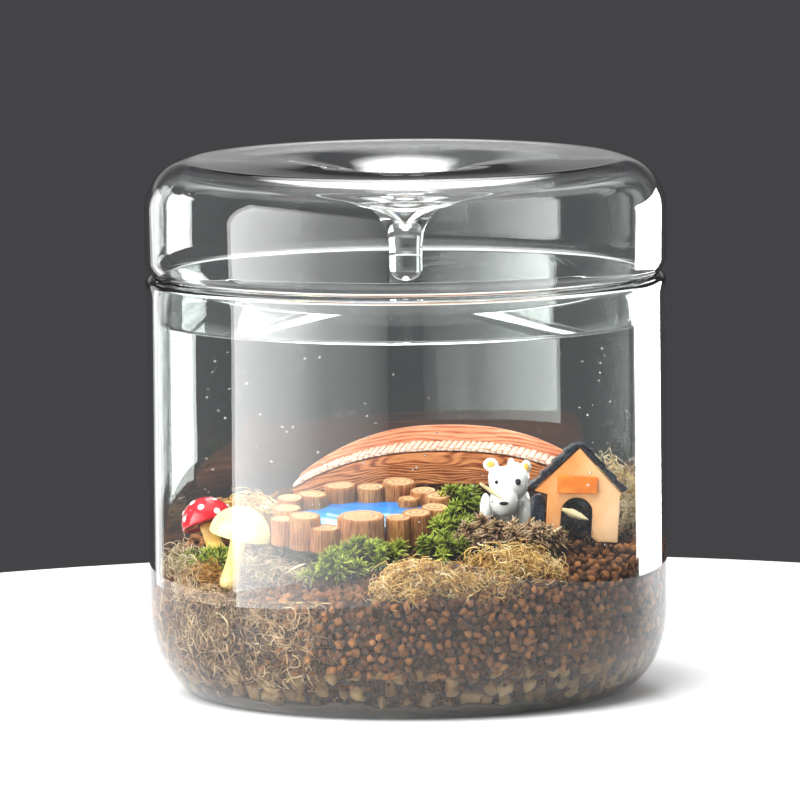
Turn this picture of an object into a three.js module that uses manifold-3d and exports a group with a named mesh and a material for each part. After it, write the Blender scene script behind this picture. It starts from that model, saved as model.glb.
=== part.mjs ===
import * as THREE from 'three';
import { mergeVertices } from 'three/addons/utils/BufferGeometryUtils.js';
import Module from 'manifold-3d';

// A lidded glass jar with a small planted landscape in it: soil, moss, a pond ringed with stumps,
// a footbridge, a kennel with its dog, and two toadstools.
// Millimetres, +Z up, the origin at the centre of the jar's foot, the front towards -Y.

const wasm = await Module();
wasm.setup();

// ---------------------------------------------------------------- driving dimensions

const GAP = 0.3; // clearance between neighbouring pieces
const GLASS_SIDES = 32; // flat sides round the glass

// Jar
const JAR_R = 59.6; // outside of the wall
const WALL = 2.2; // glass thickness of the wall
const FLOOR = 2.2; // glass thickness of the floor
const FOOT_R = 46; // flat disc that the jar stands on
const HEEL_H = 19.6; // height over which the wall curves into the foot
const RIM_Z = 96.4; // top of the rim
const RIM_BEAD = 1.25; // radius of the rounded rim
const BORE_R = JAR_R - WALL; // inside of the wall

// Lid
const LID_R = 60; // widest part of the lid
const LID_TOP = 123.2; // ridge that runs round the top
const LID_WALL = 2.0; // glass thickness of the lid
const RIDGE_R = 49.4; // radius of the ridge
const SHOULDER_H = 11.3; // height of the rounded shoulder
const TUCK_R = 6; // radius of the lid's tucked lower edge, which rests on the rim
const COLLAR_R = 56.9; // collar that drops into the mouth
const COLLAR_Z = 86.4; // lower edge of the collar
const DROP_TIP = 94.9; // lower tip of the glass drop in the middle
const DROP_R = 3.9; // radius of the drop's stem

// Soil
const GRAVEL_Z = 11.5; // top of the drainage layer
const SOIL_Z = 33; // mean height of the soil at the wall
const SLOPE_X = 0.07; // rise of the soil towards +X
const SLOPE_Y = 0.155; // rise of the soil towards the back
const CROWN = 4; // how much the soil is heaped in the middle
const GRAIN = 1.7; // radius of a soil grain on the surface
const GOLDEN = Math.PI * (3 - Math.sqrt(5)); // the turn from each seed of a flower head to the next

// Miniatures: where each stands, and its main sizes
const POND_AT = [-9, -6, 37.8];
const POND_TILT = 0.157;
const POND_RX = 16.5; // half of the pond floor's width
const POND_RY = 12.5; // half of its depth
const STUMP_RING = [6.6, 6.2]; // how far the stumps reach past the floor along X and Y
const BRIDGE_AT = [8.4, 26, 43.9];
const BRIDGE_TURN = [0.05, -0.02, -0.14];
const BRIDGE_HALF = 35.6; // half of the bridge's length
const BRIDGE_WIDTH = 9; // width of the deck
const BOARD = 2; // thickness of a side board
const PLANKS = 18; // planks of the deck
const KENNEL_AT = [39.6, -20.5, 37.2];
const KENNEL_YAW = 0.03;
const KENNEL_LEAN = 0.06; // the kennel leans to the right
const KENNEL_LEFT = -8.5; // left edge of the front wall
const KENNEL_RIGHT = 7.7; // right edge of the front wall
const KENNEL_DEPTH = 6;
const KENNEL_APEX = 22; // underside of the roof's ridge
const APEX_X = -1.8; // the ridge is not over the middle of the front wall
const PITCH = 1.05; // rise over run of both roof slopes
const EAVE_HALF = 10; // half of the roof's width
const DOG_AT = [22.6, -10, 38.8];
const RED_AT = [-43.7, 3.3, 31.2];
const YELLOW_AT = [-40.6, -31.5, 28.4];

// ---------------------------------------------------------------- small tools

function randomSource(seed) {
  let state = seed;
  return (low = 0, high = 1) => {
    state = (state + 0x6d2b79f5) | 0;
    let mixed = Math.imul(state ^ (state >>> 15), 1 | state);
    mixed = (mixed + Math.imul(mixed ^ (mixed >>> 7), 61 | mixed)) ^ mixed;
    return low + (high - low) * (((mixed ^ (mixed >>> 14)) >>> 0) / 4294967296);
  };
}

// Closed geometry to a solid. Doubled vertices are merged and empty triangles dropped.
function solid(geometry) {
  const bare = geometry.clone();
  bare.deleteAttribute('normal');
  bare.deleteAttribute('uv');
  const merged = mergeVertices(bare, 1e-4);
  const place = merged.attributes.position;
  const corners = merged.index.array;
  const kept = [];
  const [a, b, c] = [new THREE.Vector3(), new THREE.Vector3(), new THREE.Vector3()];
  let volume = 0;
  for (let i = 0; i < corners.length; i += 3) {
    const [p, q, r] = corners.slice(i, i + 3);
    if (p === q || q === r || r === p) continue;
    kept.push([p, q, r]);
    a.fromBufferAttribute(place, p);
    b.fromBufferAttribute(place, q);
    c.fromBufferAttribute(place, r);
    volume += a.dot(b.cross(c));
  }
  const outwards = kept.flatMap(([p, q, r]) => (volume > 0 ? [p, q, r] : [p, r, q]));
  const triVerts = new Uint32Array(outwards);
  const vertProperties = new Float32Array(place.array);
  return new wasm.Manifold(new wasm.Mesh({ numProp: 3, vertProperties, triVerts }));
}

function meshed(positions, index) {
  const geometry = new THREE.BufferGeometry();
  geometry.setAttribute('position', new THREE.Float32BufferAttribute(positions, 3));
  geometry.setIndex(Array.from(index));
  return geometry;
}

// Solid back to a geometry. Only its largest body is kept.
function geometryOf(shape) {
  const bodies = shape.decompose();
  bodies.sort((one, other) => other.volume() - one.volume());
  const { vertProperties, triVerts } = bodies[0].getMesh();
  return meshed(vertProperties, triVerts);
}

function join(geometries) {
  return geometries.map(solid).reduce((sum, next) => sum.add(next));
}

function cut(geometry, tool) {
  return geometryOf(solid(geometry).subtract(solid(tool)));
}

// The geometry moved by the gap each way along X, Y and Z, all joined.
function padded(geometry, gap = GAP) {
  const ways = [[0, 0, 0], [1, 0, 0], [-1, 0, 0], [0, 1, 0], [0, -1, 0], [0, 0, 1], [0, 0, -1]];
  return join(ways.map(([x, y, z]) => geometry.clone().translate(gap * x, gap * y, gap * z)));
}

function arc(cx, cz, rx, rz, from, to, steps) {
  return Array.from({ length: steps + 1 }, (_, i) => {
    const angle = THREE.MathUtils.degToRad(from + ((to - from) * i) / steps);
    return [cx + rx * Math.cos(angle), cz + rz * Math.sin(angle)];
  });
}

function lathe(profile, sides = GLASS_SIDES) {
  const points = profile.map(([r, z]) => new THREE.Vector2(r, z));
  return new THREE.LatheGeometry(points, sides).rotateX(Math.PI / 2);
}

// An outline in X and Z, made as thick as asked from y = front towards the back.
function slab(shape, front, thickness, curveSegments = 8) {
  const geometry = new THREE.ExtrudeGeometry(shape, { depth: thickness, bevelEnabled: false, curveSegments });
  return geometry.rotateX(Math.PI / 2).translate(0, front + thickness, 0);
}

function ball(centre, radii, across = 7, up = 5) {
  const geometry = new THREE.SphereGeometry(1, across, up).rotateX(Math.PI / 2);
  return geometry.scale(...radii).translate(...centre);
}

// A three-sided strand along a curve, the same thickness all the way or drawn out to a point.
function strand(curve, steps, radius, pointed) {
  const sides = 3;
  const frames = curve.computeFrenetFrames(steps, false);
  const rows = pointed ? steps - 1 : steps;
  const positions = [];
  const index = [0, 2, 1];
  for (let i = 0; i <= rows; i++) {
    const centre = curve.getPointAt(i / steps);
    const reach = pointed ? radius * (1 - (0.6 * i) / steps) : radius;
    for (let k = 0; k < sides; k++) {
      const angle = (2 * Math.PI * k) / sides;
      const point = centre.clone();
      point.addScaledVector(frames.normals[i], reach * Math.cos(angle));
      point.addScaledVector(frames.binormals[i], reach * Math.sin(angle));
      positions.push(...point);
      const [here, next] = [i * sides + k, i * sides + ((k + 1) % sides)];
      if (i < rows) index.push(here, next, here + sides, next, next + sides, here + sides);
      else if (pointed) index.push(here, next, (rows + 1) * sides);
    }
  }
  if (pointed) positions.push(...curve.getPointAt(1));
  else index.push(rows * sides, rows * sides + 1, rows * sides + 2);
  return meshed(positions, index);
}

// ---------------------------------------------------------------- the scene graph

const terrarium = new THREE.Group();

function paint(color, roughness, metalness = 0) {
  return new THREE.MeshStandardMaterial({ color, roughness, metalness });
}

const clearGlass = new THREE.MeshStandardMaterial({
  color: '#eef3f2',
  roughness: 0.05,
  metalness: 0,
  transparent: true,
  opacity: 0.35,
});

function piece(parent, name, geometry, material) {
  const mesh = new THREE.Mesh(geometry, material);
  mesh.name = name;
  parent.add(mesh);
  return mesh;
}

function group(position, rotation = [0, 0, 0]) {
  const node = new THREE.Group();
  node.position.set(...position);
  node.rotation.set(...rotation);
  terrarium.add(node);
  node.updateMatrixWorld(true);
  return node;
}

// A geometry where its mesh or group stands.
function placed(geometry, stand) {
  stand.updateWorldMatrix(true, false);
  return geometry.clone().applyMatrix4(stand.matrixWorld);
}

// ---------------------------------------------------------------- glass

function jarGeometry() {
  const rimCentre = BORE_R + RIM_BEAD;
  return lathe([
    [0, 0],
    ...arc(FOOT_R, HEEL_H, JAR_R - FOOT_R, HEEL_H, -90, 0, 6),
    [JAR_R, RIM_Z - 3],
    ...arc(rimCentre, RIM_Z - RIM_BEAD, RIM_BEAD, RIM_BEAD, 0, 180, 4),
    ...arc(FOOT_R, HEEL_H + 1, BORE_R - FOOT_R, HEEL_H + 1 - FLOOR, 0, -90, 6),
    [0, FLOOR],
  ]);
}

// Centre height of the lid's lower edge, so that it clears the rim's bead by the gap.
function tuckHeight() {
  const across = BORE_R + RIM_BEAD - (LID_R - TUCK_R);
  const reach = RIM_BEAD + TUCK_R + GAP;
  return RIM_Z - RIM_BEAD + Math.sqrt(reach * reach - across * across);
}

function lidGeometry() {
  const tuckZ = tuckHeight();
  const shoulderZ = LID_TOP - SHOULDER_H;
  const innerR = LID_R - LID_WALL;
  const bendR = LID_R - TUCK_R;
  const insideBend = TUCK_R - LID_WALL;
  const top = [
    [0, DROP_TIP + 14],
    [3, 113.6],
    [6.5, 117.6],
    [12, 120.6],
    [21, 122.1],
    [34, 122.8],
    ...arc(RIDGE_R, shoulderZ, LID_R - RIDGE_R, SHOULDER_H, 90, 0, 4),
  ];
  const edge = [
    ...arc(bendR, tuckZ, TUCK_R, TUCK_R, 0, -58, 3),
    [COLLAR_R, tuckZ - TUCK_R + 0.4],
    [COLLAR_R, COLLAR_Z + 0.8],
    [COLLAR_R - 0.9, COLLAR_Z],
    [COLLAR_R - 2, COLLAR_Z + 0.8],
    [COLLAR_R - 2, tuckZ - TUCK_R + 0.9],
    ...arc(bendR, tuckZ, insideBend, insideBend, -62, 0, 2),
  ];
  const underside = [
    ...arc(RIDGE_R - 0.2, shoulderZ, innerR - RIDGE_R + 0.2, SHOULDER_H - LID_WALL, 0, 90, 3),
    [34, 120.2],
    [21, 117.4],
    [11, 114.7],
    [7.3, 111.9],
    [5.1, 108.3],
    [DROP_R + 0.2, 105],
    [DROP_R, DROP_TIP + 2.4],
    [DROP_R * 0.62, DROP_TIP + 0.5],
    [0, DROP_TIP],
  ];
  return lathe([...top, ...edge, ...underside]);
}

piece(terrarium, 'jar', geometryOf(solid(jarGeometry())), clearGlass);
piece(terrarium, 'lid', geometryOf(solid(lidGeometry())), clearGlass);

// ---------------------------------------------------------------- pond

const stumpWood = paint('#b5814f', 0.6);
const pond = group(POND_AT, [POND_TILT, 0, 0]);

// Stumps round the pond: x, y, radius and height in the pond's own frame.
const STUMPS = [
  [-1.6, -13.4, 5.4, 8.2],
  [6.8, -12, 2.9, 7.4],
  [11, -8.5, 3.4, 7.6],
  [15.2, -2.6, 3.1, 7.2],
  [16.3, 5, 3.4, 8],
  [12.6, 10.6, 3, 7.6],
  [7, 14, 3.8, 8.8],
  [9.2, 7.2, 2.4, 6.6],
  [0.4, 12.9, 3.3, 8],
  [-6.6, 12.6, 3.7, 8.4],
  [-12.9, 7.6, 3.5, 7.8],
  [-18, 4.2, 2.9, 7.8],
  [-18.6, -2.2, 3.2, 7.2],
  [-19.4, -8.4, 2.8, 6.2],
  [-14.4, -12, 3.6, 8],
  [-9.8, -14.8, 3.4, 5.9],
];

function stump([x, y, radius, height], turn, grow = 0) {
  const [r, top] = [radius + grow, height + grow];
  const points = [[0, 0.4 - grow], [r, 0.4 - grow], [r, top - 0.7], [r * 0.88, top], [0, top - 0.1]];
  return lathe(points, 8).rotateZ(turn).translate(x, y, 0);
}

function pondFloor(radiusX, radiusY, low, high) {
  return new THREE.CylinderGeometry(1, 1, high - low, 24)
    .rotateX(Math.PI / 2)
    .scale(radiusX, radiusY, 1)
    .translate(0, 0, (low + high) / 2);
}

// The ring of stumps on its floor, grown all round where something else is cut clear of it.
function pondShape(grow = 0) {
  const floor = pondFloor(POND_RX + grow, POND_RY + grow, -grow, 3 + grow);
  return join([floor, ...STUMPS.map((size, i) => stump(size, i * 1.3, grow))]);
}

piece(pond, 'pond_rim', geometryOf(pondShape()), stumpWood);
const waterShape = solid(pondFloor(POND_RX - 0.6, POND_RY - 0.6, 3 + GAP, 4.8)).subtract(pondShape(GAP));
piece(pond, 'pond_water', geometryOf(waterShape), paint('#2aa3e0', 0.1));

// ---------------------------------------------------------------- bridge

const bridge = group(BRIDGE_AT, BRIDGE_TURN);
const ARCH_POWER = 2.35; // over 2, the arch is flatter in the middle and steeper at its ends
const ARCH_STEPS = 12;
const LOW_END = -0.6; // lower edge of both side boards at the bridge's ends
const LOW_RISE = 2.4; // how much higher that edge is in the middle
const DECK_END = 2.3; // top of the deck at the bridge's ends
const DECK_RISE = 8.5; // how much higher the deck is in the middle
const DECK_THICK = 1.1;
const BACK_RISE = 11.6; // how much the back board's upper edge rises
const GROOVE = 0.4; // width and depth of the groove between two planks

// Height of an arched edge over the bridge's length.
function archAt(x, end, rise) {
  return end + rise * (1 - Math.abs(x / BRIDGE_HALF) ** ARCH_POWER);
}

// Points along an arched edge, from the left end to the right one.
function archLine(end, rise) {
  return Array.from({ length: ARCH_STEPS + 1 }, (_, i) => {
    const x = BRIDGE_HALF * ((2 * i) / ARCH_STEPS - 1);
    return new THREE.Vector2(x, archAt(x, end, rise));
  });
}

// A board between a lower and an upper arched edge.
function archedBoard(lower, upper) {
  return new THREE.Shape([...lower, ...upper.reverse()]);
}

// The deck's planks lie side by side on the arch, with a groove between them.
function deckShape() {
  const pitch = (2 * BRIDGE_HALF) / PLANKS;
  const top = (x) => archAt(x, DECK_END, DECK_RISE);
  const edge = [];
  for (let i = 0; i < PLANKS; i++) {
    const seam = -BRIDGE_HALF + i * pitch;
    const left = seam + GROOVE / 2;
    const right = seam + pitch - GROOVE / 2;
    edge.push(new THREE.Vector2(left, top(left)));
    edge.push(new THREE.Vector2(right, top(right)));
    edge.push(new THREE.Vector2(seam + pitch, top(seam + pitch) - GROOVE));
  }
  return archedBoard(archLine(DECK_END - DECK_THICK, DECK_RISE), edge);
}

const lowEdge = () => archLine(LOW_END, LOW_RISE);
const frontBoard = archedBoard(lowEdge(), archLine(DECK_END - DECK_THICK - GAP, DECK_RISE));
const backBoard = archedBoard(lowEdge(), archLine(DECK_END + 0.4, BACK_RISE));
const bridgePieces = [
  piece(bridge, 'bridge_front_board', slab(frontBoard, 0, BOARD), paint('#c4713f', 0.55)),
  piece(bridge, 'bridge_deck', slab(deckShape(), -GAP, BRIDGE_WIDTH), paint('#e9b79a', 0.6)),
  piece(bridge, 'bridge_back_board', slab(backBoard, BRIDGE_WIDTH, BOARD), paint('#dd8d62', 0.55)),
];

// ---------------------------------------------------------------- kennel

const kennel = group(KENNEL_AT, [0, KENNEL_LEAN, KENNEL_YAW]);
const FRONT_THICK = 1.4;
const BODY_INSET = 0.2; // how much narrower the body is than the front wall, on each side
const WING_Z = 10.6; // the front wall widens here into a wing under each eave
const DOOR_X = -1.7;
const DOOR_HALF = 3.6;
const DOOR_SPRING = 6.5; // height at which the doorway's arch begins
const DOOR_DEPTH = 2.4; // how far the doorway goes into the body behind the front wall
const COURSES = 4; // courses of shingles on each slope
const SHINGLE_THIN = 1; // thickness of the roof where a course begins
const SHINGLE_THICK = 1.5; // and where it ends
const SIGN_SIZE = [9, 0.7, 4];
const SIGN_AT = [-2, 13.1];
const POST_HALF = 1.6; // half width of the round-topped post beside the wall
const POST_H = 10.3;
const POST_DEPTH = 5;
const ROOF_GAP = GAP * Math.hypot(1, PITCH); // clearance under the roof, measured upright
const navyPaint = paint('#1d2636', 0.35);

// Height of the roof's underside over the width of the kennel.
function roofAt(x) {
  return KENNEL_APEX - PITCH * Math.abs(x - APEX_X);
}

// A wall up to the roof, from one side edge to the other, with or without a wing under each eave.
function gable(left, right, winged) {
  const under = (x) => [x, roofAt(x) - ROOF_GAP];
  const reach = EAVE_HALF - 0.2;
  const onRight = winged ? [[right, WING_Z], under(APEX_X + reach)] : [under(right)];
  const onLeft = winged ? [under(APEX_X - reach), [left, WING_Z]] : [under(left)];
  const corners = [[left, 0], [right, 0], ...onRight, under(APEX_X), ...onLeft];
  return new THREE.Shape(corners.map(([x, z]) => new THREE.Vector2(x, z)));
}

function doorway(grow = 0) {
  const half = DOOR_HALF + grow;
  const outline = new THREE.Shape();
  outline.moveTo(DOOR_X - half, -1);
  outline.lineTo(DOOR_X + half, -1);
  outline.lineTo(DOOR_X + half, DOOR_SPRING);
  outline.absarc(DOOR_X, DOOR_SPRING, half, 0, Math.PI, false);
  return outline;
}

// Each course of shingles thickens downwards and ends in a step.
function roofShape() {
  const slopeAngle = Math.atan(PITCH);
  const [run, rise] = [Math.cos(slopeAngle), Math.sin(slopeAngle)];
  const length = EAVE_HALF / run;
  const at = (side, along, out) => new THREE.Vector2(
    APEX_X + side * (along * run + out * rise),
    KENNEL_APEX - along * rise + out * run,
  );
  const slope = (side) => {
    const points = [];
    for (let i = 0; i < COURSES; i++) {
      points.push(at(side, (length * (i + 0.08)) / COURSES, SHINGLE_THIN));
      points.push(at(side, (length * (i + 1)) / COURSES, SHINGLE_THICK));
    }
    points.push(at(side, length, 0));
    return points;
  };
  return new THREE.Shape([new THREE.Vector2(APEX_X, KENNEL_APEX), ...slope(-1).reverse(), ...slope(1)]);
}

// A post with a round top.
function postShape() {
  const x = KENNEL_LEFT - GAP - POST_HALF;
  const shape = new THREE.Shape();
  shape.moveTo(x - POST_HALF, 0);
  shape.lineTo(x + POST_HALF, 0);
  shape.lineTo(x + POST_HALF, POST_H - POST_HALF);
  shape.absarc(x, POST_H - POST_HALF, POST_HALF, 0, Math.PI, false);
  return shape;
}

const bodyFront = FRONT_THICK + GAP;
const frontWall = slab(gable(KENNEL_LEFT, KENNEL_RIGHT, true), 0, FRONT_THICK);
const frontCut = slab(doorway(), -1, FRONT_THICK + 2, 6);
const bodyGable = gable(KENNEL_LEFT + BODY_INSET, KENNEL_RIGHT - BODY_INSET, false);
const bodyWall = slab(bodyGable, bodyFront, KENNEL_DEPTH - bodyFront);
const bodyCut = slab(doorway(-GAP), 0, bodyFront + DOOR_DEPTH, 6);
const signY = -SIGN_SIZE[1] / 2 - GAP;
const signBoard = new THREE.BoxGeometry(...SIGN_SIZE).translate(SIGN_AT[0], signY, SIGN_AT[1]);
const kennelPieces = [
  piece(kennel, 'kennel_front', cut(frontWall, frontCut), paint('#f0ae78', 0.45)),
  piece(kennel, 'kennel_body', cut(bodyWall, bodyCut), navyPaint),
  piece(kennel, 'kennel_roof', slab(roofShape(), -GAP, KENNEL_DEPTH + 3 * GAP), navyPaint),
  piece(kennel, 'kennel_sign', signBoard, paint('#ee8236', 0.4)),
  piece(kennel, 'kennel_side_post', slab(postShape(), GAP, POST_DEPTH, 5), navyPaint),
];

// ---------------------------------------------------------------- dog

// The dog lies towards the back, its long face to the front. Each part: centre and radii.
function dogGeometry() {
  const parts = [
    ball([0.8, 6, 5.6], [4.9, 6.4, 5.2]), // body
    ball([0.5, -0.8, 11], [4.6, 4, 4.2], 9, 6), // head
    ball([-1.6, -0.6, 12.3], [2.7, 3, 2.7]), // brow over the left eye
    ball([2.6, -0.6, 12.2], [2.7, 3, 2.7]), // brow over the right eye
    ball([-0.6, -3.2, 7.2], [3.2, 3.4, 3.6], 8, 6), // muzzle
    ball([-0.8, -6.4, 6.5], [1, 0.7, 0.6], 6, 4), // nose
    ball([-3.6, -0.6, 15.4], [1.8, 0.9, 1.6], 6, 4), // left ear
    ball([4.5, -0.6, 14.8], [1.2, 0.8, 1.7], 6, 4), // right ear
    ball([1.1, -0.8, 15.4], [0.9, 1, 1.6], 6, 4), // tuft
    ball([2.4, -0.8, 14.8], [0.9, 1, 1.2], 6, 4), // tuft
    ball([-4.8, 0.4, 4.4], [1.4, 1.9, 4.4], 6, 4), // front legs
    ball([4.2, 0.4, 3.6], [1.5, 1.9, 3.6], 6, 4),
    ball([-3, 10.6, 3.3], [1.6, 2.2, 3.3], 6, 4), // hind legs
    ball([3.6, 10.2, 3.3], [1.6, 2.2, 3.3], 6, 4),
    ball([0.4, 12.2, 8.4], [1.2, 1.9, 1.9], 6, 4), // tail
  ];
  return geometryOf(join(parts));
}

const dogStand = group(DOG_AT);
const dog = piece(dogStand, 'dog', dogGeometry(), paint('#f4f2ee', 0.3));

// ---------------------------------------------------------------- toadstools

// A toadstool's cap and stem in its own frame, standing on z = 0.
function toadstool({ name, at, rotation, stemR, footR, stemH, capR, capH, colors }) {
  const stand = group(at, rotation);
  const foot = [[0, 0], [footR * 0.6, 0], [footR, footR * 0.7]];
  const stem = lathe([...foot, [stemR, stemH * 0.5], [stemR, stemH], [0, stemH]], 10);
  const capLow = stemH + GAP;
  const underside = [[0, capLow], [capR * 0.55, capLow - 0.1], [capR * 0.94, capLow - 0.9], [capR, capLow]];
  const cap = lathe([...underside, ...arc(0, capLow, capR * 0.97, capH, 18, 90, 4)], 16);
  return [
    piece(stand, `${name}_stem`, geometryOf(solid(stem)), paint(colors.stem, 0.35)),
    piece(stand, `${name}_cap`, geometryOf(solid(cap)), paint(colors.cap, 0.25)),
  ];
}

const redToadstool = toadstool({
  name: 'toadstool_red',
  at: RED_AT,
  rotation: [-0.28, -0.3, 0],
  stemR: 1.9,
  footR: 2.4,
  stemH: 8.6,
  capR: 6.2,
  capH: 6,
  colors: { cap: '#c4121c', stem: '#f0a83c' },
});
const yellowToadstool = toadstool({
  name: 'toadstool_yellow',
  at: YELLOW_AT,
  rotation: [0.05, 0.22, 0],
  stemR: 1.7,
  footR: 2.1,
  stemH: 12.4,
  capR: 6.8,
  capH: 6.6,
  colors: { cap: '#f6dc62', stem: '#f1c558' },
});

// ---------------------------------------------------------------- planting plan

// Each plant: its place (x, y, and its height over the soil), the radii of its core, how many
// strands or leaves stand out of it and how far.
const PACKED_TOP = { at: [-45, -31, -1.2], radii: [9.5, 12, 3.4], strands: 11, reach: 1.4, seed: 31 };

const MOUNDS = {
  sphagnum_front: { at: [3.5, -45, 0], radii: [10.5, 7.5, 4.6], strands: 12, reach: 1.5, seed: 41 },
  sphagnum_right: { at: [22.5, -40, 0.4], radii: [11, 8.5, 5.4], strands: 13, reach: 1.5, seed: 43 },
  sphagnum_back_right: { at: [47, 14, 2], radii: [6.5, 9, 7], strands: 13, reach: 1.6, seed: 47 },
  sphagnum_back_left: { at: [-38, 24, 0.6], radii: [9, 8, 4], strands: 9, reach: 1.5, seed: 53 },
};

const GREEN_TUFTS = {
  moss_green_centre: { at: [10.5, -2.5, 4], radii: [2.8, 2.6, 4.2], leaves: 17, length: 4, seed: 61 },
  moss_green_mid: { at: [8, -16.5, 2.6], radii: [2.8, 2.4, 3.4], leaves: 15, length: 3.8, seed: 67 },
  moss_green_front: { at: [-8, -27.5, 0.6], radii: [7, 3.2, 2.4], leaves: 20, length: 3.6, seed: 71 },
  moss_green_corner: { at: [-18, -34.5, 0.4], radii: [4.6, 3.6, 2.2], leaves: 16, length: 3.6, seed: 73 },
  moss_green_low: { at: [7, -28.5, 0.8], radii: [4, 3.2, 2.6], leaves: 15, length: 3.6, seed: 79 },
  moss_green_left: { at: [-45, -14, 2.2], radii: [3.6, 4.6, 3.4], leaves: 16, length: 3.8, seed: 83 },
  moss_green_back: { at: [12, 47, 0.4], radii: [7.6, 3.6, 2.8], leaves: 14, length: 3.6, seed: 89 },
};

const KHAKI_TUFTS = {
  moss_khaki_centre: { at: [17.5, -25.5, 2], radii: [3.6, 3, 3.4], leaves: 16, length: 3.8, seed: 97 },
  moss_khaki_right: { at: [27.5, -27.5, 1.4], radii: [3.4, 3, 3.2], leaves: 16, length: 3.8, seed: 101 },
};

// Ellipses of ground that no loose grain shows on: x, y, and radii.
const PLANTED = [MOUNDS, GREEN_TUFTS, KHAKI_TUFTS].flatMap((plan) => Object.values(plan));
const COVERED = [
  ...[PACKED_TOP, ...PLANTED].map(({ at, radii }) => [at[0], at[1], radii[0], radii[1]]),
  [POND_AT[0], POND_AT[1], POND_RX + STUMP_RING[0], POND_RY + STUMP_RING[1]],
  [BRIDGE_AT[0], BRIDGE_AT[1] + 6, BRIDGE_HALF + 2, 7],
  [KENNEL_AT[0] - 2, KENNEL_AT[1] + 3, 13, 7],
  [DOG_AT[0], DOG_AT[1] + 6, 9, 10],
  [RED_AT[0], RED_AT[1], 4, 4],
];

// ---------------------------------------------------------------- soil

// Heaps in the soil: x, y, height, and spread along X and Y.
const HEAPS = [
  [6, -8, 3.2, 34, 20],
  [38, -18, 2, 14, 14],
  [-25, 31, 4.6, 16, 12],
  [43, 29, 3, 14, 14],
];

function soilAt(x, y) {
  const plane = SOIL_Z + SLOPE_X * x + SLOPE_Y * y + CROWN * (1 - (x / BORE_R) ** 2);
  const bell = (away, spread) => Math.exp(-((away / spread) ** 2));
  return HEAPS.reduce((z, [cx, cy, rise, sx, sy]) => z + rise * bell(x - cx, sx) * bell(y - cy, sy), plane);
}

// Inside radius of the jar at a height.
function boreAt(z) {
  const heel = HEEL_H + 1;
  if (z >= heel) return BORE_R;
  const share = Math.min(1, (heel - z) / (heel - FLOOR));
  return FOOT_R + (BORE_R - FOOT_R) * Math.sqrt(1 - share * share);
}

// A layer that fills the jar between a flat base and a surface. Its side and top are rough.
function layer({ sides, rows, rings, base, top, rough, seed, clear = 2 * GAP }) {
  const random = randomSource(seed);
  const positions = [];
  const index = [];
  const edgeTop = (angle) => top(BORE_R * Math.cos(angle), BORE_R * Math.sin(angle));
  for (let k = 0; k <= rows; k++) {
    for (let j = 0; j < sides; j++) {
      const angle = (2 * Math.PI * (j + 0.5 * (k % 2))) / sides;
      const z = base + ((edgeTop(angle) - base) * k) / rows;
      const inner = k === 0 ? 0 : random(0, rough);
      const r = boreAt(z) - clear - inner;
      positions.push(r * Math.cos(angle), r * Math.sin(angle), z);
    }
  }
  for (let i = 1; i <= rings; i++) {
    for (let j = 0; j < sides; j++) {
      const angle = (2 * Math.PI * (j + 0.5 * ((rows + i) % 2))) / sides;
      const r = (BORE_R - clear) * (1 - i / (rings + 1)) ** 0.8;
      const [x, y] = [r * Math.cos(angle), r * Math.sin(angle)];
      positions.push(x, y, top(x, y) + random(-rough, 0));
    }
  }
  const centre = positions.length / 3;
  positions.push(0, 0, top(0, 0), 0, 0, base);
  for (let k = 0; k < rows + rings; k++) {
    for (let j = 0; j < sides; j++) {
      const next = (j + 1) % sides;
      const [a, b] = [k * sides + j, k * sides + next];
      const [c, d] = [a + sides, b + sides];
      if (k % 2 === 0) index.push(a, b, c, b, d, c);
      else index.push(a, b, d, a, d, c);
    }
  }
  for (let j = 0; j < sides; j++) {
    const next = (j + 1) % sides;
    index.push((rows + rings) * sides + j, (rows + rings) * sides + next, centre);
    index.push(next, j, centre + 1);
  }
  return meshed(positions, index);
}

function stone(radius, centre, random) {
  const turn = [random(0, 6), random(0, 6), random(0, 6)];
  const geometry = new THREE.IcosahedronGeometry(radius, 0);
  geometry.scale(random(0.85, 1.2), random(0.85, 1.1), random(0.75, 1));
  geometry.rotateX(turn[0]).rotateY(turn[1]).rotateZ(turn[2]);
  return geometry.translate(...centre);
}

// Pumice lumps press against the glass round the drainage layer.
function gravelGeometry() {
  const random = randomSource(11);
  const bed = layer({
    sides: 32,
    clear: 1.9,
    rows: 2,
    rings: 2,
    base: FLOOR + GAP,
    top: () => GRAVEL_Z,
    rough: 0.5,
    seed: 5,
  });
  const lumps = [];
  const count = 20;
  for (let i = 0; i < count; i++) {
    const angle = (2 * Math.PI * (i + random(-0.2, 0.2))) / count;
    const z = i % 2 ? 8.6 : 6.4;
    const radius = random(1.9, 2.4);
    const r = boreAt(z - radius) - radius - GAP - 0.2;
    lumps.push(stone(radius, [r * Math.cos(angle), r * Math.sin(angle), z], random));
  }
  return geometryOf(join([bed, ...lumps]));
}

piece(terrarium, 'drainage_gravel', gravelGeometry(), paint('#6b5138', 0.9));

const ground = layer({
  sides: 40,
  rows: 5,
  rings: 6,
  base: GRAVEL_Z + GAP,
  top: soilAt,
  rough: 0.9,
  seed: 7,
});

// A block of room for a piece's foot, from its base plane less the gap, up out of the soil.
function seatBlock(left, right, front, back, height = 10) {
  const block = new THREE.BoxGeometry(right - left, back - front, height);
  return block.translate((left + right) / 2, (front + back) / 2, height / 2 - GAP);
}

function footing(radius, height = 12) {
  const geometry = new THREE.CylinderGeometry(radius, radius, height, 10).rotateX(Math.PI / 2);
  return geometry.translate(0, 0, height / 2 - GAP);
}

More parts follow.
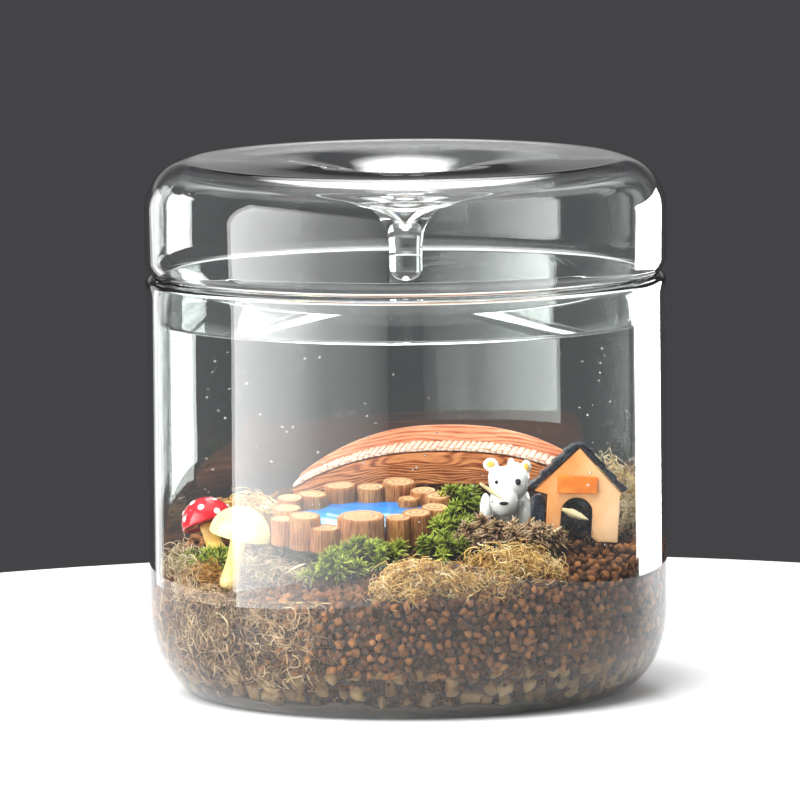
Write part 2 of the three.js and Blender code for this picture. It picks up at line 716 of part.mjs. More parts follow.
// Plain hollows in the soil that the miniatures stand in.
function soilSeats() {
  const postLeft = KENNEL_LEFT - 2 * POST_HALF - 2 * GAP;
  const archRoom = archedBoard(archLine(LOW_END - GAP, LOW_RISE), archLine(LOW_END + 30, 0));
  const arch = slab(archRoom, -2 * GAP, BRIDGE_WIDTH + BOARD + 3 * GAP);
  const pondSeat = pondFloor(POND_RX + STUMP_RING[0], POND_RY + STUMP_RING[1], -GAP, 8);
  return [
    placed(pondSeat, pond),
    placed(arch.scale(1 + GAP / BRIDGE_HALF, 1, 1), bridge),
    placed(seatBlock(postLeft, KENNEL_RIGHT + GAP, -GAP, KENNEL_DEPTH + GAP), kennel),
    placed(seatBlock(-7, 6.6, -1.8, 13.2, 6), dogStand),
    placed(footing(2.7), redToadstool[0].parent),
    placed(footing(2.4), yellowToadstool[0].parent),
  ];
}

// Grains lie over the soil where nothing covers it.
function soilGrains() {
  const random = randomSource(23);
  const count = 80;
  const grains = [];
  for (let i = 0; i < count; i++) {
    const r = (BORE_R - 3.6) * Math.sqrt((i + 0.5) / count);
    const [x, y] = [r * Math.cos(i * GOLDEN), r * Math.sin(i * GOLDEN)];
    const size = GRAIN * random(0.8, 1.15);
    const outside = ([cx, cy, rx, ry]) => Math.hypot((x - cx) / (rx + size), (y - cy) / (ry + size)) > 1;
    if (COVERED.every(outside)) grains.push(stone(size, [x, y, soilAt(x, y) - 0.2], random));
  }
  return grains;
}

// The part of the fill that is moss packed against the glass at the front left.
const packedAt = [-44, -36, 22];
const packedRadii = [22, 20, 13.5];
const packed = ball(packedAt, packedRadii, 10, 7);
const hollowRadii = packedRadii.map((radius) => radius + 1.5 * GAP);
const packedHollow = ball(packedAt, hollowRadii, 10, 7);
const grains = join(soilGrains());
const soilShape = [...soilSeats(), packedHollow]
  .reduce((rest, hollow) => rest.subtract(solid(hollow)), solid(ground).add(grains));
piece(terrarium, 'soil_granules', geometryOf(soilShape), paint('#7a4a30', 0.95));

// ---------------------------------------------------------------- moss

const inside = solid(lathe([[0, 0], [BORE_R - 2 * GAP, 0], [BORE_R - 2 * GAP, 80], [0, 80]], 56));
const grainHeap = geometryOf(solid(ground).add(grains));
const raisedSoil = solid(grainHeap).add(solid(grainHeap.clone().translate(0, 0, GAP)));
const miniatures = [...bridgePieces, ...kennelPieces, dog, ...redToadstool, ...yellowToadstool];
const seats = miniatures
  .map((mesh) => padded(placed(mesh.geometry, mesh)))
  .reduce((sum, next) => sum.add(next))
  .add(solid(placed(geometryOf(pondShape(GAP)), pond)));
const growths = [];

// What is planted is trimmed clear of the soil, the glass, the miniatures and what was planted before.
function trimmed(shape) {
  const clear = shape.intersect(inside).subtract(raisedSoil).subtract(seats);
  return geometryOf(growths.reduce((rest, other) => rest.subtract(other), clear));
}

function plant(name, shape, material) {
  const mesh = piece(terrarium, name, trimmed(shape), material);
  growths.push(padded(mesh.geometry));
  return mesh;
}

// A direction at a bearing and a height above the horizon.
function aim(bearing, height) {
  const flat = Math.cos(height);
  return new THREE.Vector3(flat * Math.cos(bearing), flat * Math.sin(bearing), Math.sin(height));
}

// A pointed leaf from its root, which first rises and then bends outwards.
function leaf(root, direction, length, thick) {
  const middle = root.clone().addScaledVector(direction, length * 0.55);
  const tip = root.clone().addScaledVector(direction, length);
  tip.x += direction.x * length * 0.2;
  tip.y += direction.y * length * 0.2;
  tip.z -= length * 0.12;
  const curve = new THREE.QuadraticBezierCurve3(root, middle, tip);
  return strand(curve, 2, thick, true);
}

// A tuft of moss: a small core with leaves that stand out of it all round.
function tuft({ at, radii, leaves, length, seed }) {
  const random = randomSource(seed);
  const [x, y, lift] = at;
  const centre = new THREE.Vector3(x, y, soilAt(x, y) + lift);
  const parts = [ball(centre.toArray(), radii, 6, 4)];
  for (let i = 0; i < leaves; i++) {
    const height = Math.asin((i + 0.5) / leaves) * 0.9 + 0.16;
    const direction = aim(i * GOLDEN + random(-0.25, 0.25), Math.min(height, Math.PI / 2));
    const root = centre.clone();
    root.add(direction.clone().multiply(new THREE.Vector3(...radii)).multiplyScalar(0.72));
    parts.push(leaf(root, direction, length * random(0.8, 1.25), 0.62));
  }
  return join(parts);
}

// A mound of tangled strands: a low core with loops that leave it and come back.
function mound({ at, radii, strands, reach, seed }) {
  const random = randomSource(seed);
  const [x, y, lift] = at;
  const centre = new THREE.Vector3(x, y, soilAt(x, y) + lift);
  const parts = [ball(centre.toArray(), radii, 8, 5)];
  const size = new THREE.Vector3(...radii);
  for (let i = 0; i < strands; i++) {
    const bearing = i * GOLDEN;
    const height = Math.asin((i + 0.5) / strands);
    const rooted = (turn, rise) => aim(bearing + turn, rise).multiply(size).multiplyScalar(0.8).add(centre);
    const start = rooted(-random(0.3, 0.6), height);
    const end = rooted(random(0.3, 0.6), height * 0.8);
    const over = aim(bearing, height).multiply(size.clone().addScalar(reach * random(1.1, 2))).add(centre);
    over.z += random(-0.4, 1);
    parts.push(strand(new THREE.QuadraticBezierCurve3(start, over, end), 3, 0.5, false));
  }
  return join(parts);
}

const strandGold = paint('#c79a55', 0.9);

// The packed moss reaches down the glass, and its strands stand out of it on top.
const packedTop = mound(PACKED_TOP).subtract(raisedSoil.subtract(solid(packed)));
const packedShape = solid(ground).intersect(solid(packed)).add(packedTop);
const packedMoss = geometryOf(packedShape.intersect(inside).subtract(seats));
piece(terrarium, 'sphagnum_left', packedMoss, strandGold);
growths.push(padded(packedMoss));

for (const [name, size] of Object.entries(MOUNDS)) plant(name, mound(size), strandGold);
for (const [name, size] of Object.entries(GREEN_TUFTS)) plant(name, tuft(size), paint('#6f9a2c', 0.8));
for (const [name, size] of Object.entries(KHAKI_TUFTS)) plant(name, tuft(size), paint('#97824a', 0.85));

export default terrarium;
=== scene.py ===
"""The looks of a glass jar planted as a landscape, with moss, a pond and small painted figures.

Lengths are in millimetres in the frame's axes. The meshes are written in metres.
"""

from math import asin, atan2, cos, hypot, pi, radians, sin, sqrt

import bmesh
import bpy
import numpy as np
from mathutils import Matrix, Vector


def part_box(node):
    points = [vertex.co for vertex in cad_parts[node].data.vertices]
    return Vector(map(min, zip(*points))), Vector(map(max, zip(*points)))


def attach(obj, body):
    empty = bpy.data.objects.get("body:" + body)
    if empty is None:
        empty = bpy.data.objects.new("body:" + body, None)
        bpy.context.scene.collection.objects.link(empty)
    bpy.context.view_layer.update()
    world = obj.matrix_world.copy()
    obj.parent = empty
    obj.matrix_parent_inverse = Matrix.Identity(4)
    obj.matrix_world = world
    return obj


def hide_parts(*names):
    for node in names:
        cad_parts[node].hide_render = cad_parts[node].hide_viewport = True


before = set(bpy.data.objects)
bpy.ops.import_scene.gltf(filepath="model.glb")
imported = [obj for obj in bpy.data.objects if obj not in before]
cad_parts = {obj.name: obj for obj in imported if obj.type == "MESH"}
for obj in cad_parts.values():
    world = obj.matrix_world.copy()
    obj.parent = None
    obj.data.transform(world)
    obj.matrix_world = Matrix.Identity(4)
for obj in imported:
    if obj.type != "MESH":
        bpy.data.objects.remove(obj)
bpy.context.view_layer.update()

MM = 0.001
GOLDEN = pi * (3 - sqrt(5))

# --- sizes


def span(node):
    """Lowest and highest corner of a node."""
    return [np.array(corner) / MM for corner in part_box(node)]


JAR_R = 59.6
LID_R = span("lid")[1][0]
LID_TOP = span("lid")[1][2]
RIM_Z = span("jar")[1][2]
WALL = 2.2
FLOOR = 2.2
FOOT_R = 46.0
HEEL_H = 19.6
RIM_BEAD = 1.25
BORE_R = JAR_R - WALL
GLASS_SIDES = 192
WET_INDEX = 1.13

LID_WALL = 2.0
RIDGE_R = 49.4
SHOULDER_H = 11.3
TUCK_R = 6.0
COLLAR_R = 56.9
COLLAR_Z = span("lid")[0][2]
DROP_TIP = 94.9
DROP_R = 3.9
GAP = 0.3

GRAVEL_Z = span("drainage_gravel")[1][2]
SOIL_Z = 33.0
SLOPE_X = 0.07
SLOPE_Y = 0.155
CROWN = 4.0
HEAPS = [(6, -8, 3.2, 34, 20), (38, -18, 2, 14, 14), (-25, 31, 4.6, 16, 12), (43, 29, 3, 14, 14)]
PACKED_AT = np.array([-44.0, -36.0, 22.0])
PACKED_R = np.array([22.0, 20.0, 13.5])
CORE_DEPTH = 3.6

POND_AT = np.array([-9.0, -6.0, 37.8])
POND_TURN = (0.157, 0, 0)
POND_R = np.array([16.5, 12.5])
BRIDGE_AT = np.array([8.4, 26.0, 43.9])
BRIDGE_TURN = (0.05, -0.02, -0.14)
BRIDGE_HALF = 35.6
BRIDGE_WIDTH = 9.0
BOARD = 2.0
PLANKS = 50
KENNEL_AT = np.array([39.6, -20.5, 37.2])
DOG_AT = np.array([22.6, -10.0, 38.8])
# Place, turn, radius and height of the cap, and top radius, foot radius and height of the stem.
RED_TOADSTOOL = (-43.7, 3.3, 31.2), (-0.28, -0.3, 0), (6.2, 6.0), (1.9, 2.4, 8.6)
YELLOW_TOADSTOOL = (-40.6, -31.5, 28.4), (0.05, 0.22, 0), (6.8, 6.6), (1.7, 2.1, 12.4)


def soil_height(x, y):
    """Height of the soil's surface."""
    z = SOIL_Z + SLOPE_X * x + SLOPE_Y * y + CROWN * (1 - (x / BORE_R) ** 2)
    for cx, cy, rise, sx, sy in HEAPS:
        z = z + rise * np.exp(-(((x - cx) / sx) ** 2) - ((y - cy) / sy) ** 2)
    return z


def soil_edge(angles):
    """Height of the soil at the glass."""
    return soil_height(BORE_R * np.cos(angles), BORE_R * np.sin(angles))


def buried(places, depth):
    """Which places lie deeper than this in the soil."""
    return places[:, 2] < soil_height(*places[:, :2].T) - depth


def bore(z):
    """Inside radius of the jar at a height."""
    heel = HEEL_H + 1
    share = np.clip((heel - z) / (heel - FLOOR), 0, 1)
    return FOOT_R + (BORE_R - FOOT_R) * np.sqrt(1 - share**2)


def turned(made, turn, at):
    """A body of a piece's own frame in the jar's frame. The turns are about X, Y and Z."""
    spin = Matrix.Identity(3)
    for angle, axis in zip(turn, "XYZ"):
        spin = spin @ Matrix.Rotation(angle, 3, axis)
    return made[0] @ np.array(spin).T + np.asarray(at), *made[1:]


def kept_inside(points, margin=0.4):
    """Points drawn in where they would come nearer than a margin to the glass."""
    r = np.hypot(points[:, 0], points[:, 1])
    share = np.minimum(1, (bore(points[:, 2]) - margin) / np.maximum(r, 1e-6))
    return points * np.column_stack([share, share, np.ones(len(points))])


# --- camera and materials


def shown(name, data):
    """A new object in the scene."""
    made = bpy.data.objects.new(name, data)
    bpy.context.scene.collection.objects.link(made)
    return made


def add_camera():
    """The photograph's view: from in front and a little above, through a long lens."""
    place, aim, roll = Vector((0, -2.828, 0.3897)), Vector((0, 0, 0.060)), -0.009
    data = bpy.data.cameras.new("camera")
    data.sensor_width = 36
    data.lens = 556.8
    data.shift_x, data.shift_y = -0.00895, 0.04
    data.clip_start, data.clip_end = 0.05, 40
    camera = shown("camera", data)
    camera.location = place
    facing = (aim - place).to_track_quat("-Z", "Y").to_matrix()
    camera.rotation_euler = (facing @ Matrix.Rotation(roll, 3, "Z")).to_euler()
    bpy.context.scene.camera = camera


class Tree:
    """A node tree to which nodes are added."""

    def __init__(self, tree):
        self.tree = tree

    def node(self, kind, settings=None, **inputs):
        """Adds a node. Inputs are values or the output sockets of other nodes."""
        added = self.tree.nodes.new(kind)
        for key, value in (settings or {}).items():
            setattr(added, key, value)
        for key, value in inputs.items():
            socket = int(key[1:]) if key[1:].isdigit() else key.replace("_", " ")
            self.join(value, added.inputs[socket])
        return added

    def join(self, value, target):
        if isinstance(value, bpy.types.NodeSocket):
            self.tree.links.new(value, target)
        else:
            target.default_value = value

    def measured(self, operation, a, b):
        """A dot product or a distance."""
        added = self.node("ShaderNodeVectorMath", {"operation": operation}, i0=a, i1=b)
        return added.outputs["Value"]

    def ramp(self, value, *stops):
        """Colours along a value: each stop is a place and a colour."""
        added = self.node("ShaderNodeValToRGB", Fac=value)
        elements = added.color_ramp.elements
        while len(elements) < len(stops):
            elements.new(0.5)
        for element, (where, *color) in zip(elements, stops):
            element.position = where
            element.color = (*color, 1)
        return added.outputs["Color"]


class Look(Tree):
    """A material's node tree. Lengths are given in millimetres."""

    def __init__(self, name, color=(0.5, 0.5, 0.5), roughness=0.5, **sockets):
        self.material = bpy.data.materials.new(name)
        self.material.use_nodes = True
        super().__init__(self.material.node_tree)
        self.bsdf = self.tree.nodes["Principled BSDF"]
        for socket, value in {"Base Color": (*color, 1), "Roughness": roughness, **sockets}.items():
            self.bsdf.inputs[socket.replace("_", " ")].default_value = value
        self.place = self.node("ShaderNodeTexCoord").outputs["Object"]

    def stretched(self, source, scale):
        """Coordinates scaled along each axis."""
        return self.node("ShaderNodeMapping", Vector=source, Scale=scale).outputs[0]

    def noise(self, grain, detail=3.0, source=None, distortion=0.0, roughness=0.5):
        """Noise with blotches of about this many millimetres, from 0 to 1."""
        inputs = {"Detail": detail, "Distortion": distortion, "Roughness": roughness}
        inputs.update(Vector=source or self.place, Scale=1 / (grain * MM))
        return self.node("ShaderNodeTexNoise", **inputs).outputs["Fac"]

    def math(self, operation, a, b=0.0):
        return self.node("ShaderNodeMath", {"operation": operation}, i0=a, i1=b).outputs[0]

    def summed(self, *pairs):
        """The sum of values, each times its weight."""
        total = None
        for value, weight in pairs:
            part = value if weight == 1 else self.math("MULTIPLY", value, weight)
            total = part if total is None else self.math("ADD", total, part)
        return total

    def spread(self, value, low, high, to_low=0.0, to_high=1.0):
        """A value's range from low to high, spread over another range."""
        ends = {"From_Min": low, "From_Max": high, "To_Min": to_low, "To_Max": to_high}
        return self.node("ShaderNodeMapRange", Value=value, **ends).outputs["Result"]

    def multiplied(self, share, a, b):
        """One colour times another, as far as the share says."""
        settings = {"data_type": "RGBA", "blend_type": "MULTIPLY"}
        return self.node("ShaderNodeMix", settings, Factor=share, i6=a, i7=b).outputs[2]

    def split(self):
        """The place along each axis."""
        return self.node("ShaderNodeSeparateXYZ", Vector=self.place).outputs

    def tone(self):
        """Each point's own tone, from the mesh."""
        return self.node("ShaderNodeAttribute", {"attribute_name": "tone"}).outputs["Fac"]

    def color(self, value, *stops):
        self.join(self.ramp(value, *stops), self.bsdf.inputs["Base Color"])

    def rough(self, source, low, high):
        self.join(self.spread(source, 0.3, 0.7, low, high), self.bsdf.inputs["Roughness"])

    def bump(self, source, depth, under=None):
        """Relief of this depth in millimetres."""
        added = self.node("ShaderNodeBump", Height=source, Distance=depth * MM, Strength=1.0)
        if under is not None:
            self.join(under, added.inputs["Normal"])
        self.join(added.outputs[0], self.bsdf.inputs["Normal"])
        return added.outputs[0]


def glass_look(name, tint, wave, index=1.5):
    """Clear glass with a slightly uneven surface. Rays from lamps pass straight through it."""
    look = Look(name, tint, 0.0, IOR=index, Transmission_Weight=1.0)
    look.bump(look.noise(26, 1.0), wave)
    clear = look.node("ShaderNodeBsdfTransparent", Color=(0.97, 0.98, 0.975, 1)).outputs[0]
    shade = look.node("ShaderNodeLightPath").outputs["Is Shadow Ray"]
    both = look.node("ShaderNodeMixShader", i0=shade, i1=look.bsdf.outputs[0], i2=clear)
    look.join(both.outputs[0], look.tree.nodes["Material Output"].inputs["Surface"])
    return look.material


def granule_look(name, stops, grain, shine):
    """Baked clay or stone. Each granule has a tone of its own, with blotches and pits."""
    look = Look(name, IOR=1.45, Specular_IOR_Level=0.18)
    look.color(look.summed((look.tone(), 0.7), (look.noise(grain * 0.5, 4.0), 0.3)), *stops)
    look.rough(look.noise(grain * 0.3), *shine)
    coarse = look.bump(look.noise(grain * 0.42, 3.0), 0.45)
    look.bump(look.noise(grain * 0.13, 5.0, roughness=0.7), 0.22, under=coarse)
    return look.material


def leaf_look(name, stops, shine, through):
    """Moss: the tone runs from the root of each leaf to its tip."""
    look = Look(name, IOR=1.4, Subsurface_Weight=through, Subsurface_Scale=0.6 * MM)
    look.bsdf.inputs["Subsurface Radius"].default_value = (0.6, 1.0, 0.3)
    drift = look.spread(look.noise(5.0, 2.0), 0.3, 0.7, -0.16, 0.16)
    look.color(look.summed((look.tone(), 1), (drift, 1)), *stops)
    look.rough(look.noise(1.2), *shine)
    look.bump(look.noise(0.35, 2.0), 0.05)
    return look.material


def paint(name):
    """Hand-laid paint on cast resin: drifting colour, uneven gloss and slight ripples."""
    blotch, shine, relief, grain, stops, *sockets = PAINTS[name]
    look = Look(name, **(sockets[0] if sockets else {}))
    look.color(look.noise(blotch, 3.0), *stops)
    look.rough(look.noise(blotch * 0.3), *shine)
    look.bump(look.noise(grain, 3.0), relief)
    return look.material


# Each stop is a place and a linear colour.
RAMPS = {
    "clay": [
        (0.12, 0.022, 0.01, 0.007), (0.35, 0.09, 0.037, 0.018), (0.55, 0.21, 0.082, 0.03),
        (0.75, 0.37, 0.15, 0.05), (0.95, 0.54, 0.25, 0.1),
    ],
    "pumice": [
        (0.1, 0.028, 0.015, 0.007), (0.35, 0.15, 0.08, 0.034), (0.6, 0.33, 0.2, 0.092),
        (0.95, 0.5, 0.35, 0.185),
    ],
    # Green and khaki: near black at the leaves' roots, light at their tips: partly the moss's own
    # colour, partly painted shade deep in each tuft.
    "green": [
        (0.0, 0.014, 0.012, 0.005), (0.3, 0.06, 0.07, 0.01), (0.55, 0.2, 0.25, 0.024),
        (0.8, 0.44, 0.5, 0.06), (1.0, 0.74, 0.76, 0.28),
    ],
    "khaki": [
        (0.0, 0.02, 0.009, 0.007), (0.3, 0.12, 0.052, 0.03), (0.6, 0.42, 0.25, 0.14),
        (1.0, 0.86, 0.68, 0.48),
    ],
    "gold": [
        (0.0, 0.08, 0.024, 0.004), (0.3, 0.34, 0.13, 0.02), (0.6, 0.74, 0.44, 0.13),
        (1.0, 0.98, 0.86, 0.55),
    ],
    "packed": [
        (0.0, 0.04, 0.016, 0.008), (0.35, 0.27, 0.14, 0.065), (0.65, 0.6, 0.4, 0.21),
        (1.0, 0.9, 0.76, 0.5),
    ],
    "tan": [
        (0.0, 0.09, 0.05, 0.03), (0.3, 0.34, 0.21, 0.12), (0.6, 0.62, 0.45, 0.28),
        (1.0, 0.86, 0.76, 0.6),
    ],
    "amber": [(0.0, 0.12, 0.03, 0.006), (0.4, 0.5, 0.19, 0.03), (1.0, 0.86, 0.48, 0.12)],
    "humus": [
        (0.0, 0.006, 0.005, 0.005), (0.4, 0.03, 0.018, 0.014), (0.75, 0.09, 0.05, 0.035),
        (1.0, 0.22, 0.14, 0.09),
    ],
    "dry": [(0.0, 0.5, 0.36, 0.18), (0.5, 0.74, 0.6, 0.36), (1.0, 0.8, 0.7, 0.48)],
    "bark": [
        (0.3, 0.13, 0.045, 0.018), (0.42, 0.36, 0.16, 0.07), (0.54, 0.56, 0.3, 0.14),
        (0.72, 0.7, 0.43, 0.22),
    ],
    "rings": [
        (0.05, 0.2, 0.07, 0.025), (0.3, 0.5, 0.25, 0.11), (0.7, 0.68, 0.4, 0.2),
        (1.0, 0.56, 0.3, 0.14),
    ],
    "water": [
        (0.2, 0.4, 0.74, 0.88), (0.42, 0.07, 0.42, 0.76), (0.62, 0.01, 0.26, 0.66),
        (0.92, 0.0, 0.14, 0.5),
    ],
    "peach": [
        (0.05, 0.96, 0.6, 0.34), (0.35, 0.9, 0.45, 0.2), (0.65, 0.8, 0.3, 0.085),
        (0.95, 0.68, 0.2, 0.04),
    ],
}
# Width of the blotches, range of the roughness, depth and width of the relief, stops, and the rest.
PAINTS = {
    # Near black: painted shade for the gaps between the granules, on the soil behind them.
    "soil_core_painted_shade": (2.0, (0.35, 0.8), 0.6, 0.9, [
        (0.3, 0.012, 0.007, 0.005), (0.5, 0.03, 0.014, 0.008), (0.7, 0.07, 0.03, 0.016),
    ]),
    # Dark wet silt, darkened further as painted shade for the table's contact shadow seen in the
    # glass foot.
    "wet_silt_and_painted_shade": (1.8, (0.25, 0.5), 0.12, 0.5, [
        (0.3, 0.012, 0.007, 0.004), (0.5, 0.032, 0.017, 0.008), (0.7, 0.08, 0.043, 0.02),
    ]),
    "kennel_navy": (3.0, (0.12, 0.35), 0.2, 1.5, [
        (0.3, 0.003, 0.004, 0.007), (0.55, 0.01, 0.013, 0.022), (0.75, 0.032, 0.04, 0.06),
    ]),
    "kennel_orange": (3.0, (0.25, 0.4), 0.12, 1.0, [
        (0.3, 0.68, 0.13, 0.01), (0.6, 0.8, 0.22, 0.02), (0.8, 0.88, 0.36, 0.06),
    ]),
    "dog_white": (4.0, (0.12, 0.25), 0.06, 1.5, [
        (0.3, 0.84, 0.83, 0.8), (0.6, 0.92, 0.92, 0.9), (0.8, 0.95, 0.95, 0.94),
    ], {"Coat_Weight": 0.5, "Coat_Roughness": 0.08}),
    "dog_features": (1.0, (0.1, 0.2), 0.02, 0.5, [
        (0.3, 0.004, 0.004, 0.006), (0.7, 0.02, 0.02, 0.028),
    ]),
    "dog_ears": (2.0, (0.2, 0.3), 0.03, 0.5, [(0.3, 0.85, 0.4, 0.05), (0.7, 0.95, 0.62, 0.16)]),
    "cap_red": (4.0, (0.08, 0.2), 0.05, 1.5, [
        (0.3, 0.45, 0.0, 0.008), (0.6, 0.68, 0.006, 0.02), (0.8, 0.8, 0.03, 0.04),
    ], {"Coat_Weight": 0.6, "Coat_Roughness": 0.05}),
    "cap_yellow": (5.0, (0.15, 0.3), 0.06, 1.2, [
        (0.3, 0.9, 0.72, 0.22), (0.55, 0.95, 0.84, 0.36), (0.75, 0.95, 0.9, 0.62),
    ], {"Coat_Weight": 0.3, "Coat_Roughness": 0.1}),
    "cap_dots": (2.0, (0.2, 0.35), 0.03, 0.6, [(0.3, 0.85, 0.83, 0.8), (0.7, 0.95, 0.94, 0.92)]),
    "stem_orange": (3.0, (0.2, 0.35), 0.05, 1.0, [
        (0.3, 0.85, 0.42, 0.06), (0.7, 0.93, 0.62, 0.16),
    ]),
    "stem_yellow": (4.0, (0.2, 0.35), 0.05, 1.0, [(0.3, 0.9, 0.6, 0.18), (0.7, 0.95, 0.76, 0.36)]),
}

# --- meshes


def new_mesh(name, made, materials, which=None):
    """A smooth mesh from (vertices, faces) or (vertices, faces, tone)."""
    vertices, faces, *tone = made
    sizes = np.fromiter(map(len, faces), np.int32)
    corners = np.concatenate(faces).astype(np.int32)
    mesh = bpy.data.meshes.new(name)
    mesh.vertices.add(len(vertices))
    mesh.vertices.foreach_set("co", (np.asarray(vertices) * MM).astype(np.float32).ravel())
    mesh.loops.add(len(corners))
    mesh.loops.foreach_set("vertex_index", corners)
    mesh.polygons.add(len(sizes))
    mesh.polygons.foreach_set("loop_start", (np.cumsum(sizes) - sizes).astype(np.int32))
    mesh.polygons.foreach_set("use_smooth", np.ones(len(sizes), bool))
    for material in materials:
        mesh.materials.append(material)
    if which is not None:
        mesh.polygons.foreach_set("material_index", np.asarray(which, dtype=np.int32))
    if tone:
        attribute = mesh.attributes.new("tone", "FLOAT", "POINT")
        attribute.data.foreach_set("value", np.asarray(tone[0], dtype=np.float32))
    mesh.update(calc_edges=True)
    return mesh


def finished(name, mesh, slot, *stands_for):
    """The mesh as a piece that rides on the jar's body."""
    made = shown(name, mesh)
    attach(made, "root")
    if stands_for:
        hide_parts(*stands_for)
    return made


def piece(name, made, material, slot, *stands_for):
    return finished(name, new_mesh(name, made, [material]), slot, *stands_for)


def joined(parts):
    """Several (vertices, faces, tone) as one."""
    vertices, faces, tones = zip(*parts)
    starts = np.cumsum([0] + [len(own) for own in vertices[:-1]])
    moved = [own + start for own, start in zip(faces, starts)]
    return np.concatenate(vertices), np.concatenate(moved), np.concatenate(tones)


def stacked(parts):
    """Several (vertices, faces) as one, with faces of any size."""
    faces, start = [], 0
    for vertices, own, *_ in parts:
        faces += [[corner + start for corner in face] for face in own]
        start += len(vertices)
    return np.concatenate([part[0] for part in parts]), faces


def unit(rows):
    return rows / (np.linalg.norm(rows, axis=-1, keepdims=True) + 1e-9)


def direction(bearing, height):
    """A unit vector, or one for each bearing and height."""
    flat = np.cos(height)
    return np.stack([np.cos(bearing) * flat, np.sin(bearing) * flat, np.sin(height)], axis=-1)


def circle(sides):
    """Bearings all round."""
    return np.arange(sides) * 2 * pi / sides


def ring(r, angles, z):
    return np.column_stack(np.broadcast_arrays(r * np.cos(angles), r * np.sin(angles), z))


def waves(angles, orders, depth, rng):
    """An uneven line round a circle."""
    parts = [(n, rng.uniform(0, 6.28), rng.uniform(0.3, 1)) for n in orders]
    return sum(depth * size * np.cos(n * angles + phase) for n, phase, size in parts)


def band(rows, sides, looped=False):
    """Quads between closed rows of points. A looped band comes back to its first row."""
    k, i = np.divmod(np.arange((rows if looped else rows - 1) * sides), sides)
    j, up = (i + 1) % sides, (k + 1) % rows
    return np.stack([k * sides + i, k * sides + j, up * sides + j, up * sides + i], axis=1)


def halved(quads):
    """Each quad as two triangles."""
    return quads[:, [0, 1, 2, 0, 2, 3]].reshape(-1, 3)


def fan(start, sides, tip):
    """Triangles from a closed row of points to a tip."""
    return [[start + i, start + (i + 1) % sides, tip] for i in range(sides)]


def arc(cx, cz, rx, rz, start, end, steps):
    angles = np.radians(np.linspace(start, end, steps + 1))
    return [(cx + rx * cos(a), cz + rz * sin(a)) for a in angles]


def smoothed(points, steps=6):
    """A curve through the points."""
    rows = np.array([points[0], *points, points[-1]], float)
    curve = []
    for a, b, c, d in zip(rows, rows[1:], rows[2:], rows[3:]):
        for t in np.arange(steps) / steps:
            bend = (2 * a - 5 * b + 4 * c - d) * t**2 + (3 * b - a - 3 * c + d) * t**3
            curve.append(tuple((2 * b + (c - a) * t + bend) / 2))
    return curve + [tuple(rows[-1])]


def lathe(profile, sides):
    """A body turned about Z. The profile starts and ends on the axis, and runs outside downwards.

    A height in it may differ from side to side.
    """
    vertices, rings = [], []
    for r, z in profile:
        start = sum(map(len, vertices))
        if r < 1e-6:
            rings.append([start] * sides)
            vertices.append(np.array([[0, 0, z]]))
        else:
            rings.append(list(range(start, start + sides)))
            vertices.append(ring(r, circle(sides), z))
    faces = []
    for upper, lower in zip(rings, rings[1:]):
        for i in range(sides):
            j = (i + 1) % sides
            corners = [upper[i], lower[i], lower[j], upper[j]]
            kept = [c for k, c in enumerate(corners) if c != corners[k - 1]]
            if len(kept) > 2:
                faces.append(kept)
    return np.concatenate(vertices), faces


def ico(level):
    """Vertices and faces of a unit icosphere."""
    made = bmesh.new()
    bmesh.ops.create_icosphere(made, subdivisions=level, radius=1)
    vertices = np.array([v.co for v in made.verts])
    faces = np.array([[v.index for v in f.verts] for f in made.faces])
    made.free()
    return vertices, faces


def dome(centre, radii, level=3, tone=0.0):
    ball, faces = ico(level)
    return np.asarray(centre) + ball * radii, faces, np.full(len(ball), tone)


def pebbles(level, count, rough, rng, deepest=0.66):
    """Lumpy versions of a unit icosphere, with dents and blunt corners."""
    ball, faces = ico(level)
    shapes = []
    for _ in range(count):
        cuts = unit(rng.normal(size=(9, 3)))
        depth = rng.uniform(deepest, 0.95, 9)
        reach = np.ones(len(ball))
        for cut, most in zip(cuts, depth):
            along = ball @ cut
            reach = np.minimum(reach, np.where(along > 0.2, most / np.maximum(along, 0.2), 9))
        shapes.append(ball * (reach + rng.normal(0, rough, len(ball)))[:, None])
    return shapes, faces


def spins(count, rng):
    """Random rotation matrices."""
    q = rng.normal(size=(count, 4))
    w, x, y, z = (q / np.linalg.norm(q, axis=1)[:, None]).T
    rows = [
        [1 - 2 * (y * y + z * z), 2 * (x * y - z * w), 2 * (x * z + y * w)],
        [2 * (x * y + z * w), 1 - 2 * (x * x + z * z), 2 * (y * z - x * w)],
        [2 * (x * z - y * w), 2 * (y * z + x * w), 1 - 2 * (x * x + y * y)],
    ]
    return np.moveaxis(np.array(rows), 2, 0)


def strewn(kinds, places, sizes, tones, rng):
    """Copies of the shapes, each turned at random, at places, with sizes along their own axes."""
    shapes, faces = kinds
    chosen = rng.integers(0, len(shapes), len(places))
    turns = spins(len(places), rng)
    scaled = np.stack([shapes[k] for k in chosen]) * sizes[:, None, :]
    vertices = np.einsum("nij,nvj->nvi", turns, scaled) + places[:, None, :]
    starts = np.arange(len(places)) * len(shapes[0])
    every = faces[None] + starts[:, None, None]
    return vertices.reshape(-1, 3), every.reshape(-1, 3), np.repeat(tones, len(shapes[0]))


def lumps(kinds, places, size, squash, tone, rng):
    """Lumps at places. The tone is a beta spread's two shapes and a factor."""
    sizes = size[:, None] * rng.uniform(*squash, (len(places), 3))
    return strewn(kinds, places, sizes, rng.beta(*tone[:2], len(places)) * tone[2], rng)


def inside(made, margin=0.4):
    """A body drawn in where it would come nearer than a margin to the glass."""
    return kept_inside(made[0], margin), *made[1:]


# --- glass


def inner_heel(steps):
    """The inner curve of the jar's foot, from the floor up."""
    return arc(FOOT_R, HEEL_H + 1, BORE_R - FOOT_R, HEEL_H + 1 - FLOOR, -90, 0, steps)


